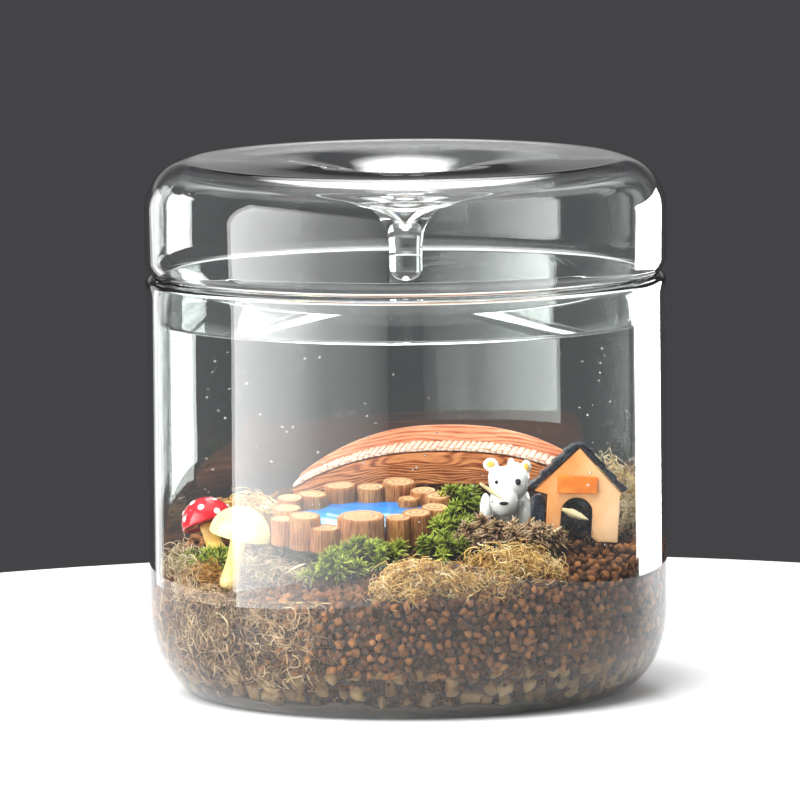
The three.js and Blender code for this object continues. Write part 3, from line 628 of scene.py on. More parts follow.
def jar_profile():
    """The inside from the floor up to the soil's edge, then the rest."""
    edge = soil_edge(circle(GLASS_SIDES)) - 0.5
    rim = arc(BORE_R + RIM_BEAD, RIM_Z - RIM_BEAD, RIM_BEAD, RIM_BEAD, 180, 0, 12)
    foot = arc(FOOT_R, HEEL_H, JAR_R - FOOT_R, HEEL_H, 0, -90, 18)
    return [(0, FLOOR), *inner_heel(18), (BORE_R, edge)], [*rim, (JAR_R, RIM_Z - 3), *foot, (0, 0)]


def lid_profile():
    """The top from its dish outwards, the collar in the mouth, and the underside to the drop."""
    bend, thin = LID_R - TUCK_R, TUCK_R - LID_WALL
    tuck = RIM_Z - RIM_BEAD + sqrt((RIM_BEAD + TUCK_R + GAP) ** 2 - (BORE_R + RIM_BEAD - bend) ** 2)
    shoulder = LID_TOP - SHOULDER_H
    hollow, fold = RIDGE_R - 0.2, COLLAR_Z + 0.9
    dish = [(0, DROP_TIP + 14), (3, 113.6), (6.5, 117.6), (12, 120.6), (21, 122.1), (34, 122.8)]
    under = [(34, 120.2), (21, 117.4), (11, 114.7), (7.3, 111.9), (5.1, 108.3)]
    tip = arc(0, DROP_TIP + DROP_R * 0.8, DROP_R, DROP_R * 0.8, 0, -90, 8)
    drop = [(DROP_R + 0.2, 105), (DROP_R, DROP_TIP + 6), *tip]
    return [
        *smoothed([*dish, (RIDGE_R, LID_TOP)])[:-1],
        *arc(RIDGE_R, shoulder, LID_R - RIDGE_R, SHOULDER_H, 90, 0, 18),
        *arc(bend, tuck, TUCK_R, TUCK_R, -6, -56, 10),
        (COLLAR_R, tuck - TUCK_R + 0.4),
        (COLLAR_R, fold),
        *arc(COLLAR_R - 1, fold, 1, 0.9, -15, -165, 8),
        (COLLAR_R - 2, fold),
        (COLLAR_R - 2, tuck - TUCK_R + 0.9),
        *arc(bend, tuck, thin, thin, -58, -6, 8),
        *arc(hollow, shoulder, LID_R - LID_WALL - hollow, SHOULDER_H - LID_WALL, 0, 90, 18)[:-1],
        *smoothed([(hollow, LID_TOP - LID_WALL), *under, *drop]),
    ]


def add_glass():
    """The jar and its lid. Where wet soil lies on the glass, its inside bends light very little."""
    within, rest = jar_profile()
    made = lathe(within + rest, GLASS_SIDES)
    wet = np.arange(len(made[1])) < (len(within) - 1) * GLASS_SIDES
    tint = (0.955, 0.985, 0.97)
    dry_look = glass_look("jar_glass", tint, 0.05)
    wet_look = glass_look("jar_glass_wet", tint, 0.05, WET_INDEX)
    mesh = new_mesh("jar_glass", made, [dry_look, wet_look], wet)
    finished("jar_glass", mesh, "clear_glass", "jar")
    clear = glass_look("lid_glass", (0.965, 0.985, 0.975), 0.08)
    piece("lid_glass", lathe(lid_profile(), GLASS_SIDES), clear, "clear_glass", "lid")


# --- ground


def in_packed(places):
    """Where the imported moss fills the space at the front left."""
    return (((places - PACKED_AT) / (PACKED_R - 1.5)) ** 2).sum(1) < 1


def under_pieces(x, y):
    """Where something stands on the soil, so that no granule shows."""
    reach_x, reach_y = POND_R + [4, 3.6]
    pond = ((x - POND_AT[0]) / reach_x) ** 2 + ((y - POND_AT[1]) / reach_y) ** 2 < 1
    along, across = x - BRIDGE_AT[0], y - BRIDGE_AT[1]
    bridge = (abs(along) < BRIDGE_HALF) & (abs(across - 5 + 0.14 * along) < 6)
    kennel = (abs(x - KENNEL_AT[0] + 2) < 9.6) & (y > KENNEL_AT[1] + 1) & (y < KENNEL_AT[1] + 6)
    return pond | bridge | kennel


def wall_places(low, high, pitch, sizes, slack, rng):
    """Places and sizes of lumps that lie on the glass, row on row, between two heights."""
    line = np.array([*inner_heel(60), (BORE_R, 62.0)])
    along = np.concatenate([[0], np.cumsum(np.linalg.norm(np.diff(line, axis=0), axis=1))])
    ahead = unit(np.gradient(line, along, axis=0))
    first, last = np.interp((low, high), line[:, 1], along)
    places, radii = [], []
    for row in np.arange(first, last, pitch * 0.87):
        count = int(2 * pi * np.interp(row, along, line[:, 0]) / pitch)
        angles = (np.arange(count) + rng.uniform() + rng.uniform(-0.3, 0.3, count)) * 2 * pi / count
        spots = row + rng.uniform(-0.3, 0.3, count) * pitch
        size = rng.uniform(*sizes, count)
        depth = size * 1.13 + 0.05 + rng.uniform(*slack, count)
        r, z, out, up = (np.interp(spots, along, column) for column in (*line.T, *ahead.T))
        places.append(ring(r - up * depth, angles, z + out * depth))
        radii.append(size)
    return np.concatenate(places), np.concatenate(radii)


def add_core():
    """The mass of the soil behind its granules, painted near black as shade in the gaps between
    them.
    """
    sides, rows, rings, foot = 128, 8, 14, FLOOR + 1.4
    angles = circle(sides)
    edge = soil_edge(angles) - 2.2
    levels = [foot + (edge - foot) * share for share in np.arange(rows + 1) / rows]
    stack = [ring(bore(z) - CORE_DEPTH, angles, z) for z in levels]
    for share in 1 - np.arange(1, rings) / rings:
        row = ring((BORE_R - CORE_DEPTH) * share, angles, 0.0)
        row[:, 2] = soil_height(*row[:, :2].T) - 1.9
        stack.append(row)
    last, tip = (len(stack) - 1) * sides, len(stack) * sides
    floor = [[j, i, middle] for i, j, middle in fan(0, sides, tip + 1)]
    faces = [*band(len(stack), sides), *fan(last, sides, tip), *floor]
    middles = [[0, 0, soil_height(0, 0) - 1.9], [0, 0, foot]]
    piece("soil_core_painted_shade", (np.concatenate([*stack, middles]), faces), paint("soil_core_painted_shade"), "soil")


def add_silt():
    """Fine wet soil washed down to the foot of the wall, with an uneven upper edge. Its dark colour
    is partly the wet silt's own, partly painted shade.
    """
    rng = np.random.default_rng(23)
    sides, rows, foot = 240, 10, FLOOR + 0.12
    angles = circle(sides)
    crest = 4.3 + waves(angles, (2, 5, 9, 14, 23, 37, 53), 0.42, rng)
    stack = []
    for share in np.arange(rows + 1) / rows:
        z = foot + (crest - FLOOR) * share**1.6
        depth = 0.14 + 4 * max(0, share - 0.8) + rng.uniform(0, 0.05, sides)
        stack.append(ring(bore(z) - depth, angles, z))
    stack += [ring(bore(crest) - 5.5, angles, z) for z in (crest - 0.3, foot)]
    faces = band(len(stack), sides, looped=True)
    piece("silt", (np.concatenate(stack), faces), paint("wet_silt_and_painted_shade"), "soil")


def add_granules():
    rng = np.random.default_rng(7)
    coarse = pebbles(2, 14, 0.07, rng, 0.5)
    small = pebbles(1, 12, 0.05, rng)
    highest = soil_edge(np.linspace(0, 2 * pi, 90)).max()
    clay = granule_look("clay_granules", RAMPS["clay"], 2.2, (0.25, 0.7))
    wall, size = wall_places(GRAVEL_Z - 0.5, highest, 2.12, (0.85, 1.32), (0, 0.3), rng)
    kept = buried(wall, 0.3) & ~in_packed(wall)
    wall, size = wall[kept], size[kept]
    tones = rng.beta(2.2, 2.4, len(wall))
    sizes = size[:, None] * rng.uniform(0.84, 1.1, (len(wall), 3))
    front = wall[:, 1] < 0
    for side, chosen, *stands_for in (("front", front, "soil_granules"), ("back", ~front)):
        made = strewn(coarse, wall[chosen], sizes[chosen], tones[chosen], rng)
        piece(f"soil_wall_{side}", made, clay, "soil", *stands_for)
    behind, size = wall_places(GRAVEL_Z - 1, highest, 2.3, (1.0, 1.3), (1.5, 2.1), rng)
    kept = buried(behind, 0.8)
    # Darker tones than the granules on the glass: painted shade deeper in the soil.
    made = lumps(small, behind[kept], size[kept], (0.85, 1.1), (2, 3.6, 0.8), rng)
    piece("soil_behind", made, clay, "soil")
    pitch = 2.15
    steps = np.arange(-BORE_R, BORE_R, pitch)
    rows = enumerate(steps * 0.87)
    grid = np.array([(x + 0.5 * pitch * (i % 2), y) for i, y in rows for x in steps])
    grid = grid + rng.uniform(-0.6, 0.6, grid.shape)
    grid = np.concatenate([grid, rng.uniform(-BORE_R, BORE_R, (500, 2))])
    x, y = grid.T
    x, y = grid[(np.hypot(x, y) < BORE_R - 1.5) & ~under_pieces(x, y)].T
    top = np.column_stack([x, y, soil_height(x, y) - 0.5 + rng.uniform(-0.45, 0.35, len(x))])
    sizes = rng.uniform(0.85, 1.3, (len(x), 1)) * rng.uniform(0.8, 1.12, (len(x), 3))
    # Darker towards the middle of the jar, lighter near the glass.
    tones = rng.beta(2.2, 2.4, len(x)) * np.clip(0.3 + (np.hypot(x, y) / BORE_R) ** 3, 0, 1)
    piece("soil_top", inside(strewn(coarse, top, sizes, tones, rng), 0.1), clay, "soil")


def add_gravel():
    """Angular pumice lumps in dark grit at the bottom."""
    rng = np.random.default_rng(11)
    angular = pebbles(3, 12, 0.012, rng, 0.42)
    big, size = wall_places(FLOOR + 1.2, GRAVEL_Z + 0.4, 4.7, (1.8, 2.9), (0, 0.3), rng)
    made = lumps(angular, big, size, (0.7, 1.1), (2.4, 1.7, 1), rng)
    pumice = granule_look("pumice_lumps", RAMPS["pumice"], 3.0, (0.3, 0.7))
    piece("drainage_lumps", inside(made, 0.03), pumice, "pumice", "drainage_gravel")
    crumbs = pebbles(1, 10, 0.05, rng)
    low, high = FLOOR + 0.6, GRAVEL_Z + 0.6
    near, near_size = wall_places(low, high, 1.45, (0.5, 0.85), (0.1, 0.9), rng)
    clear = np.ones(len(near), bool)
    for centre, reach in zip(big, size):
        clear &= np.linalg.norm(near - centre, axis=1) > reach * 1.12
    far, far_size = wall_places(low, high, 1.9, (0.8, 1.1), (1.9, 2.9), rng)
    spots, size = np.concatenate([near[clear], far]), np.concatenate([near_size[clear], far_size])
    made = lumps(crumbs, spots, size, (0.8, 1.1), (2, 4, 0.8), rng)
    piece("drainage_grit", made, granule_look("dark_grit", RAMPS["clay"], 1.4, (0.3, 0.7)), "soil")


# --- moss

BLADE_FACES = np.concatenate([halved(band(2, 3)), band(3, 3)[3:, :3], [[0, 2, 1]]])
STAR = {"leaves": 24, "lift": (0.0, 1.0), "length": 0.72, "width": 0.15, "droop": 0.22}
CURLED = {"leaves": 34, "lift": (-0.3, 1.1), "length": 0.55, "width": 0.1, "droop": 0.4}
FROND = {"leaves": 26, "lift": (-0.4, 1.2), "length": 0.42, "width": 0.045, "droop": 0.9}
WITHERED = {"leaves": 20, "lift": (-0.6, 0.8), "length": 0.55, "width": 0.12, "droop": 0.6}
FLUFF = [
    ("left_curls", "tan", [
        ((-51.5, -12, 29.5), (5, 8, 8.5), 330), ((-50, -26, 26.5), (5, 7, 7.5), 240),
    ]),
    ("amber_moss", "amber", [((-46.5, -24, 27.5), (5.5, 6, 7), 420)]),
    ("back_curls", "tan", [((47, 6, 40), (7, 7, 15), 420), ((51.5, -4, 38), (3.5, 6, 9), 200)]),
    ("slope_curls", "gold", [
        ((1, -50.5, 27.5), (11, 5, 5.5), 420), ((16, -49, 28.5), (10, 5.5, 6), 380),
        ((27.5, -42, 31.5), (8, 6, 6), 300),
    ]),
    ("sparse_curls", "tan", [((-27, -30, 29.5), (9, 9, 5), 150), ((-33, -17, 31), (7, 8, 5), 110)]),
]
FLAKES = [
    ((34.9, -22.1, 45), (40.9, -22.3, 42.4), 2.0), ((16.4, -17.6, 50.7), (22, -18.3, 46.6), 1.1),
    ((31, -27, 38.5), (35, -26, 41.6), 0.9), ((-27, -34, 32.6), (-23, -32, 34.2), 0.9),
]


def tube(points, radii):
    """A thin three-sided tube along points, pointed at its end. The tone runs from 0 to 1."""
    ahead = unit(np.gradient(points, axis=0))
    side = unit(np.cross(ahead, [0.31, 0.17, 0.93]))
    up = np.cross(ahead, side)
    edges = [points + radii[:, None] * (cos(a) * side + sin(a) * up) for a in circle(3)]
    vertices = np.stack(edges, axis=1)
    vertices[-1] = points[-1]
    faces = np.concatenate([halved(band(len(points), 3)), [[0, 2, 1]]])
    return vertices.reshape(-1, 3), faces, np.repeat(np.linspace(0, 1, len(points)), 3)


def blade(root, way, length, width, droop, rng):
    """A narrow pointed leaf: three-sided, flat, widest near its middle."""
    way = unit(way)
    side = unit(np.cross(way, rng.normal(size=3)))
    over = np.cross(side, way)
    thick = width * 0.35
    middle, tip = root + way * length * 0.45, root + way * length - np.array([0, 0, droop * length])
    rows = [(root, thick, thick * 0.6), (middle, width * 0.5, thick), (tip, 0, 0)]
    vertices = [(at + side * half, at - side * half, at + over * lift) for at, half, lift in rows]
    return np.reshape(vertices, (-1, 3)), BLADE_FACES, np.repeat([0.1, 0.55, 1.0], 3)


def shoot(kind, rng):
    """A moss shoot along +Z, about 1 long: a stem with leaves all round, densest at its tip."""
    lean = rng.uniform(-0.25, 0.25, 2)

    def stem(along):
        return np.stack([lean[0] * along**2, lean[1] * along**2, along], axis=-1)

    vertices, faces, tone = tube(stem(np.linspace(0, 1, 5)), np.linspace(0.06, 0.03, 5))
    parts = [(vertices, faces, tone * 0.25)]
    for i in range(kind["leaves"]):
        along = 0.25 + 0.75 * ((i + 0.5) / kind["leaves"]) ** 0.7
        bearing = i * GOLDEN + rng.uniform(-0.3, 0.3)
        lift = np.interp(along, (0, 1), kind["lift"]) + rng.uniform(-0.15, 0.15)
        length = kind["length"] * rng.uniform(0.75, 1.2) * (0.65 + 0.35 * sin(pi * along))
        sizes = length, kind["width"], kind["droop"] * rng.uniform(0.3, 1)
        parts.append(blade(stem(along), direction(bearing, lift), *sizes, rng))
    return joined(parts)


def planted(shapes, places, ways, sizes, shades, rng):
    """Shoots standing at places, each along its way, with its own size and shade."""
    parts = []
    for place, way, size, shade in zip(places, ways, sizes, shades):
        vertices, faces, tone = shapes[rng.integers(len(shapes))]
        upright = Vector(way).to_track_quat("Z", "Y").to_matrix()
        turn = upright @ Matrix.Rotation(rng.uniform(0, 6.28), 3, "Z")
        vertices = vertices * size @ np.array(turn).T + place
        parts.append((vertices, faces, np.clip(tone * 0.75 + shade, 0, 1)))
    return joined(parts)


def tuft_plan(node, count, inset, rng):
    """Roots and ways of shoots over the upper side of a node's heart."""
    low, high = span(node)
    centre, core = (low + high) / 2, np.maximum((high - low) / 2 - inset, 1.2)
    centre[2] = low[2] + core[2] * 0.9
    bearings = np.arange(count) * GOLDEN + rng.uniform(-0.3, 0.3, count)
    ways = direction(bearings, np.arcsin((np.arange(count) + 0.5) / count))
    places = centre + ways * core * rng.uniform(0.55, 0.95, (count, 1))
    return places, ways * [0.8, 0.8, 1] + rng.normal(0, 0.18, ways.shape) + [0, 0, 0.35]


def add_tufts():
    rng = np.random.default_rng(61)
    stars, curled = ([shoot(kind, rng) for _ in range(7)] for kind in (STAR, CURLED))
    green = leaf_look("green_moss", RAMPS["green"], (0.25, 0.55), 0.2)
    khaki = leaf_look("khaki_moss", RAMPS["khaki"], (0.35, 0.65), 0.2)

    def add(node, look, slot, shapes, count, inset, sizes, shades):
        places, ways = tuft_plan(node, count, inset, rng)
        sizes, shades = rng.uniform(*sizes, count), rng.uniform(*shades, count)
        made = planted(shapes, places, ways, sizes, shades, rng)
        piece(f"{node}_shoots", inside(made), look, slot, node)

    for node in sorted(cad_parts):
        width, depth, _ = span(node)[1] - span(node)[0]
        if node.startswith("moss_green"):
            count = int(7 + width * depth * 0.07)
            add(node, green, "green_moss", stars, count, 3.4, (3.6, 5.2), (-0.1, 0.22))
        elif node.startswith("moss_khaki"):
            add(node, khaki, "khaki_moss", curled, 22, 2.6, (4.2, 6.4), (-0.14, 0.2))


def wander(start, way, length, curl, steps, rng):
    """A curly path from a start, of a given length."""
    points, heading = [start], way
    spin = rng.normal(size=3) * curl
    for _ in range(steps):
        spin = spin * 0.85 + rng.normal(size=3) * curl * 0.5
        heading = unit(heading + np.cross(spin, heading))
        points.append(points[-1] + heading * length / steps)
    return np.array(points)


def held_in(points, centre, reach, floor):
    """The path pulled back to a mound's outside, above the soil and inside the glass."""
    away = (points - centre) / reach
    far = np.linalg.norm(away, axis=1)
    points = centre + away / np.maximum(far, 1)[:, None] * reach
    points[:, 2] = np.maximum(points[:, 2], floor)
    return kept_inside(points, 0.5)


def strands(centre, reach, count, length, thick, rng, lie):
    """Curly strands that spring from an ellipsoid's upper half. The lie is how flat they start."""
    centre, reach, steps, parts = np.asarray(centre), np.asarray(reach), 6, []
    clumps = unit(rng.normal(size=(12, 3)) * [1, 1, 0.6])
    for i in range(count):
        out = direction(i * GOLDEN, asin((i + 0.5) / count) * 0.97)
        swell = 0.5 + 0.55 * np.max(clumps @ out) ** 6
        start = centre + out * reach * swell * rng.uniform(0.8, 1.0)
        flat = unit(np.cross(out, rng.normal(size=3)))
        way = flat * lie + out * (1 - lie) + rng.normal(0, 0.15, 3)
        path = wander(start, way, length * rng.uniform(0.5, 1.3), 0.62, steps, rng)
        bound = reach * (swell + rng.uniform(0.05, 0.45))
        path = held_in(path, centre, bound, centre[2] - reach[2] * 0.25)
        radius = thick * rng.uniform(0.6, 1.3)
        vertices, faces, tone = tube(path, np.linspace(radius, radius * 0.45, steps + 1))
        # Lighter towards each tip and on the swelling clumps, darker at the roots and between
        # clumps: partly the moss's own paler tips, partly painted shade inside the mound.
        shade = 0.6 * tone + rng.uniform(-0.15, 0.35) + 0.3 * (swell - 0.5)
        parts.append((vertices, faces, np.clip(shade, 0, 1)))
    return parts


def add_sphagnum():
    """Mounds of strands and fronds, each over a dark inner ball that is painted shade."""
    rng = np.random.default_rng(41)
    gold = leaf_look("golden_moss", RAMPS["gold"], (0.4, 0.7), 0.3)
    fronds = [shoot(FROND, rng) for _ in range(8)]
    for side in ("front", "right", "back_right", "back_left"):
        node = f"sphagnum_{side}"
        low, high = span(node)
        centre, reach = (low + high) / 2, (high - low) / 2 * [0.96, 0.96, 1]
        centre[2] = low[2] + reach[2] * 0.55
        reach[2] = high[2] - centre[2]
        area = reach[0] * reach[1]
        count, total = int(area * 11), int(area * 0.75)
        # The inner ball takes the ramp's darkest tone: painted shade deep in the mound.
        ball, faces, tone = dome((0, 0, 0), reach * 0.6, 4)
        rough = 1 + rng.normal(0, 0.05, (len(ball), 1))
        parts = [inside((centre + ball * rough, faces, tone), 0.9)]
        parts += strands(centre, reach, int(count * 0.75), 7.5, 0.17, rng, 0.42)
        parts += strands(centre, reach * 1.03, count // 4, 10, 0.12, rng, 0.6)
        places, ways = tuft_plan(node, total, 2.2, rng)
        sizes, shades = rng.uniform(3.6, 5.4, total), rng.uniform(0.0, 0.35, total)
        parts.append(inside(planted(fronds, places, ways, sizes, shades, rng)))
        piece(f"{node}_strands", joined(parts), gold, "sphagnum", node)


def add_packed():
    """Moss packed against the glass, its strands pressed flat on it, and its loose top."""
    rng = np.random.default_rng(31)
    parts = []
    for _ in range(1500):
        angle = atan2(PACKED_AT[1], PACKED_AT[0]) + rng.uniform(-0.48, 0.5)
        top = soil_edge(angle)
        z = rng.uniform(8.5, top + 0.6)
        depth, heading = rng.uniform(0.3, 2.4), rng.uniform(-1.2, 1.2)
        turn, step = rng.normal(0, 0.4), rng.uniform(0.5, 1.1)
        path = []
        for _ in range(8):
            r = bore(z) - depth
            path.append((r * cos(angle), r * sin(angle), z))
            heading += turn + rng.normal(0, 0.3)
            angle += cos(heading) * step / BORE_R
            z = float(np.clip(z + sin(heading) * step, 7.5, top + 0.8))
        radius = rng.uniform(0.07, 0.26)
        vertices, faces, tone = tube(np.array(path), np.linspace(radius, radius * 0.55, len(path)))
        # Darker the farther a strand lies from the glass: painted shade deeper in the moss.
        shade = 0.2 + 0.3 * tone + rng.uniform(-0.3, 0.4) - depth * 0.08
        parts.append(inside((vertices, faces, np.clip(shade, 0, 1)), 0.05))
    centre = np.array([-43.5, -29.5, soil_height(-43.5, -29.5) - 1.0])
    reach = np.array([10.5, 12.5, span("sphagnum_left")[1][2] - centre[2]])
    parts += strands(centre, reach * [1, 1, 0.9], 700, 6, 0.12, rng, 0.75)
    packed = leaf_look("packed_moss", RAMPS["packed"], (0.35, 0.65), 0.15)
    piece("sphagnum_left_strands", joined(parts), packed, "sphagnum", "sphagnum_left")


def add_humus():
    """Dark wet remains of moss between the tufts, with a few pale dry bits."""
    rng = np.random.default_rng(5)
    shapes = [shoot(WITHERED, rng) for _ in range(6)]
    x, y = rng.uniform([-34, -40], [54, 12], (620, 2)).T
    near_pond = ((x - POND_AT[0]) / 30) ** 2 + ((y - POND_AT[1] + 3) / 24) ** 2 < 1
    clear = (np.hypot(x, y) < BORE_R - 3) & ~under_pieces(x, y) & (near_pond | (x > 12) & (y > -33))
    x, y = x[clear], y[clear]
    places = np.column_stack([x, y, soil_height(x, y) - 0.4])
    ways = rng.normal(0, 0.8, places.shape) + [0, 0, 0.7]
    sizes, shades = rng.uniform(1.8, 3.4, len(x)), rng.uniform(-0.35, 0.35, len(x))
    made = planted(shapes, places, ways, sizes, shades, rng)
    piece("humus", inside(made), leaf_look("humus", RAMPS["humus"], (0.1, 0.45), 0.0), "soil")


def add_fluff():
    """Loose curls of dry moss at the sides."""
    rng = np.random.default_rng(19)
    for name, ramp, mounds in FLUFF:
        look = leaf_look(name, RAMPS[ramp], (0.4, 0.7), 0.25)
        parts = [part for mound in mounds for part in strands(*mound, 5.0, 0.11, rng, 0.45)]
        piece(name, joined(parts), look, "sphagnum")


def leaf_strip(start, end, width, rng):
    """A thin leaf with a blunt root, a wavy edge and a raised middle, flat to the front."""
    start, reach, steps, rows = np.array(start), np.subtract(end, start), 9, []
    way = unit(reach)
    side = unit(np.cross(way, [0, 1, 0]))
    over = np.cross(side, way)
    for share in np.arange(steps + 1) / steps:
        half = side * width / 2 * sin(pi * (0.12 + 0.86 * share)) * rng.uniform(0.85, 1.1)
        middle = start + reach * share + over * 0.25 * sin(3 * share)
        lift = 0.12 * over * (1 - share)
        rows += [middle - half, middle + lift, middle + half, middle - lift - over * 0.08]
    last = 4 * steps
    ends = [[0, 3, 2], [0, 2, 1], [last, last + 1, last + 2], [last, last + 2, last + 3]]
    faces = np.concatenate([halved(band(steps + 1, 4)), ends])
    return np.array(rows), faces, np.repeat(np.linspace(0.2, 0.9, steps + 1), 4)


def add_flakes():
    """Dry leaves that fell on the kennel's doorway and the dog, and a few on the ground."""
    rng = np.random.default_rng(43)
    cream = leaf_look("dry_leaves", RAMPS["dry"], (0.2, 0.5), 0.2)
    piece("dry_leaves", joined([leaf_strip(*flake, rng) for flake in FLAKES]), cream, "sphagnum")


def add_droplets():
    """Dew on the inside of the glass and on the moss."""
    rng = np.random.default_rng(37)
    drops = []
    r = BORE_R - 0.05
    for _ in range(130):
        angle, size = rng.uniform(-2.7, -0.5), rng.uniform(0.1, 0.3)
        place = (r * cos(angle), r * sin(angle), rng.uniform(44, 85))
        drops.append(inside(dome(place, (size, size, size * 1.2), 2), 0.01))
    for _ in range(150):
        x, y = rng.uniform([-45, -42], [45, 0])
        if hypot(x, y) <= BORE_R - 5:
            size = rng.uniform(0.15, 0.38)
            drops.append(dome((x, y, soil_height(x, y) + rng.uniform(0.9, 2.6)), size, 2))
    dew = Look("dew", (0.95, 0.97, 0.98), 0.02, IOR=1.33, Transmission_Weight=1.0)
    dew.bump(dew.noise(0.5, 1.0), 0.01)
    piece("dew_drops", joined(drops)[:2], dew.material, "clear_glass")


# --- pond

# Middle, radius and height of each.
STUMPS = [
    (-1.6, -13.4, 5.4, 8.2), (6.8, -12, 2.9, 7.4), (11, -8.5, 3.4, 7.6), (15.2, -2.6, 3.1, 7.2),
    (16.3, 5, 3.4, 8), (12.6, 10.6, 3, 7.6), (7, 14, 3.8, 8.8), (9.2, 7.2, 2.4, 6.6),
    (0.4, 12.9, 3.3, 8), (-6.6, 12.6, 3.7, 8.4), (-12.9, 7.6, 3.5, 7.8), (-18, 4.2, 2.9, 7.8),
    (-18.6, -2.2, 3.2, 7.2), (-19.4, -8.4, 2.8, 6.2), (-14.4, -12, 3.6, 8), (-9.8, -14.8, 3.4, 5.9),
]
# Share of the height and of the radius, up the bark.
BARK_ROWS = [(0, 1.02), (0.25, 1), (0.5, 0.99), (0.8, 1), (0.93, 1), (0.985, 0.97), (1, 0.91)]


def stump_mesh(x, y, radius, height, rng):
    """Grooved bark and a sawn end. Gives vertices, faces, UVs and material indices."""
    sides = 44
    angles = circle(sides)
    out = 1 + waves(angles, (2, 3, 5, 9, 13, 17), 0.016, rng)
    grooves = rng.integers(0, sides, 13)
    out[grooves] -= rng.uniform(0.03, 0.075, 13)
    tilt = rng.uniform(-0.04, 0.04, 2)
    rows = []
    for share, width in BARK_ROWS:
        edge = out if share < 0.99 else (out + 1) / 2
        sway = 1 + 0.01 * np.sin(3 * angles + 5 * share)
        row = ring(radius * width * edge * sway, angles, 0.4 + (height - 0.4) * share)
        row[:, 2] += row[:, :2] @ tilt * share
        rows.append(row)
    for share in (0.82, 0.6, 0.35, 0.12):
        row = ring(radius * share, angles, height + 0.12 * cos(share * 3) - 0.1)
        row[:, 2] += row[:, :2] @ tilt
        rows.append(row)
    own = np.concatenate([*rows, [[0, 0, height - 0.1]]])
    quads, last = band(len(rows), sides), (len(rows) - 1) * sides
    faces = [*quads, *fan(last, sides, last + sides)]
    bark = (len(BARK_ROWS) - 1) * sides
    turns = quads[:bark, [0, 0, 0, 0]] % sides + [0, 1, 1, 0]
    wound = np.stack([turns * 2 * pi * radius / sides, own[quads[:bark], 2]], axis=2).reshape(-1, 2)
    ends = np.concatenate([own[face, :2] for face in faces[bark:]])
    return own + [x, y, 0], faces, np.concatenate([wound, ends]) * MM, np.arange(len(faces)) >= bark


def wood_look(name):
    """Sawn wood and its UVs."""
    look = Look(name, Specular_IOR_Level=0.35)
    return look, look.node("ShaderNodeUVMap", {"uv_map": "Wood"}).outputs[0]


def bark_look():
    look, uv = wood_look("stump_bark")
    lines = look.noise(0.85, 4.0, look.stretched(uv, (2.6, 0.2, 1)), 0.5)
    streak = look.ramp(lines, *RAMPS["bark"])
    drift = look.ramp(look.noise(9, 2.0), (0.35, 0.72, 0.42, 0.3), (0.65, 1.0, 0.82, 0.52))
    look.join(look.multiplied(0.75, streak, drift), look.bsdf.inputs["Base Color"])
    look.rough(lines, 0.5, 0.7)
    look.bump(lines, 0.5)
    return look.material


def end_look():
    """Sawn ends with growth rings round each stump's own middle."""
    look, uv = wood_look("stump_end")
    settings = {"wave_type": "RINGS", "rings_direction": "Z", "wave_profile": "SAW"}
    inputs = {"Scale": 1 / (4.4 * MM), "Distortion": 2.2, "Detail": 3, "Detail_Scale": 1.2}
    rings = look.node("ShaderNodeTexWave", settings, Vector=uv, **inputs).outputs["Fac"]
    look.color(rings, *RAMPS["rings"])
    look.rough(rings, 0.5, 0.65)
    look.bump(rings, 0.18)
    return look.material


def add_pond():
    rng = np.random.default_rng(17)
    stumps = [stump_mesh(*size, rng) for size in STUMPS]
    floor, floor_faces = lathe([(0, 3), (0.97, 3), (1, 2.6), (1, 0), (0, 0)], 64)
    made = stacked([*stumps, (floor * [*POND_R, 1], floor_faces)])
    which = np.concatenate([*(own[3] for own in stumps), np.zeros(len(floor_faces))])
    made = turned(made, POND_TURN, POND_AT)
    mesh = new_mesh("stump_ring", made, [bark_look(), end_look()], which)
    finished("stump_ring", mesh, "stump_wood", "pond_rim")
    wood = np.concatenate([own[2] for own in stumps])
    uvs = np.zeros((len(mesh.loops), 2), np.float32)
    uvs[:len(wood)] = wood
    mesh.uv_layers.new(name="Wood").data.foreach_set("uv", uvs.ravel())
    rows = [(r, 4.8 + 0.06 * cos(r * 9)) for r in np.linspace(0.08, 0.93, 14)]
    sheet, faces = lathe([(0, 4.86), *rows, (0.95, 4.3), (0.95, 3.3), (0, 3.3)], 72)
    x, y, z = (sheet * [*POND_R, 1]).T
    ripple = 0.12 * np.sin(0.9 * x + 0.6 * y) * np.sin(0.7 * y - 0.4 * x) * (z > 4.4)
    made = turned((np.column_stack([x, y, z + ripple]), faces), POND_TURN, POND_AT)
    look = Look("pond_water", roughness=0.06, IOR=1.45, Coat_Weight=0.4, Coat_Roughness=0.04)
    # Lighter and cyan towards the front, deep blue behind: partly the pond's own painted fade,
    # partly painted reflection of a bright window.
    depth = look.spread(look.split()[1], (POND_AT[1] - 11) * MM, (POND_AT[1] + 6) * MM)
    streaks = look.noise(5, 3.0, look.stretched(look.place, (0.45, 1.3, 1)), 1.2)
    look.color(look.summed((depth, 0.65), (streaks, 0.4)), *RAMPS["water"])
    look.bump(look.noise(2.4, 2.0), 0.12)
    piece("pond_sheet", made, look.material, "pond_blue", "pond_water")


# --- bridge

ARCH_POWER = 2.35
LOW_EDGE = (-0.6, 2.4)
DECK_END, DECK_RISE, DECK_THICK = 2.3, 8.5, 1.1
BACK_RISE = 11.6


def arch(x, end, rise):
    """Height of an arched edge over the bridge's length."""
    return end + rise * (1 - np.abs(x / BRIDGE_HALF) ** ARCH_POWER)


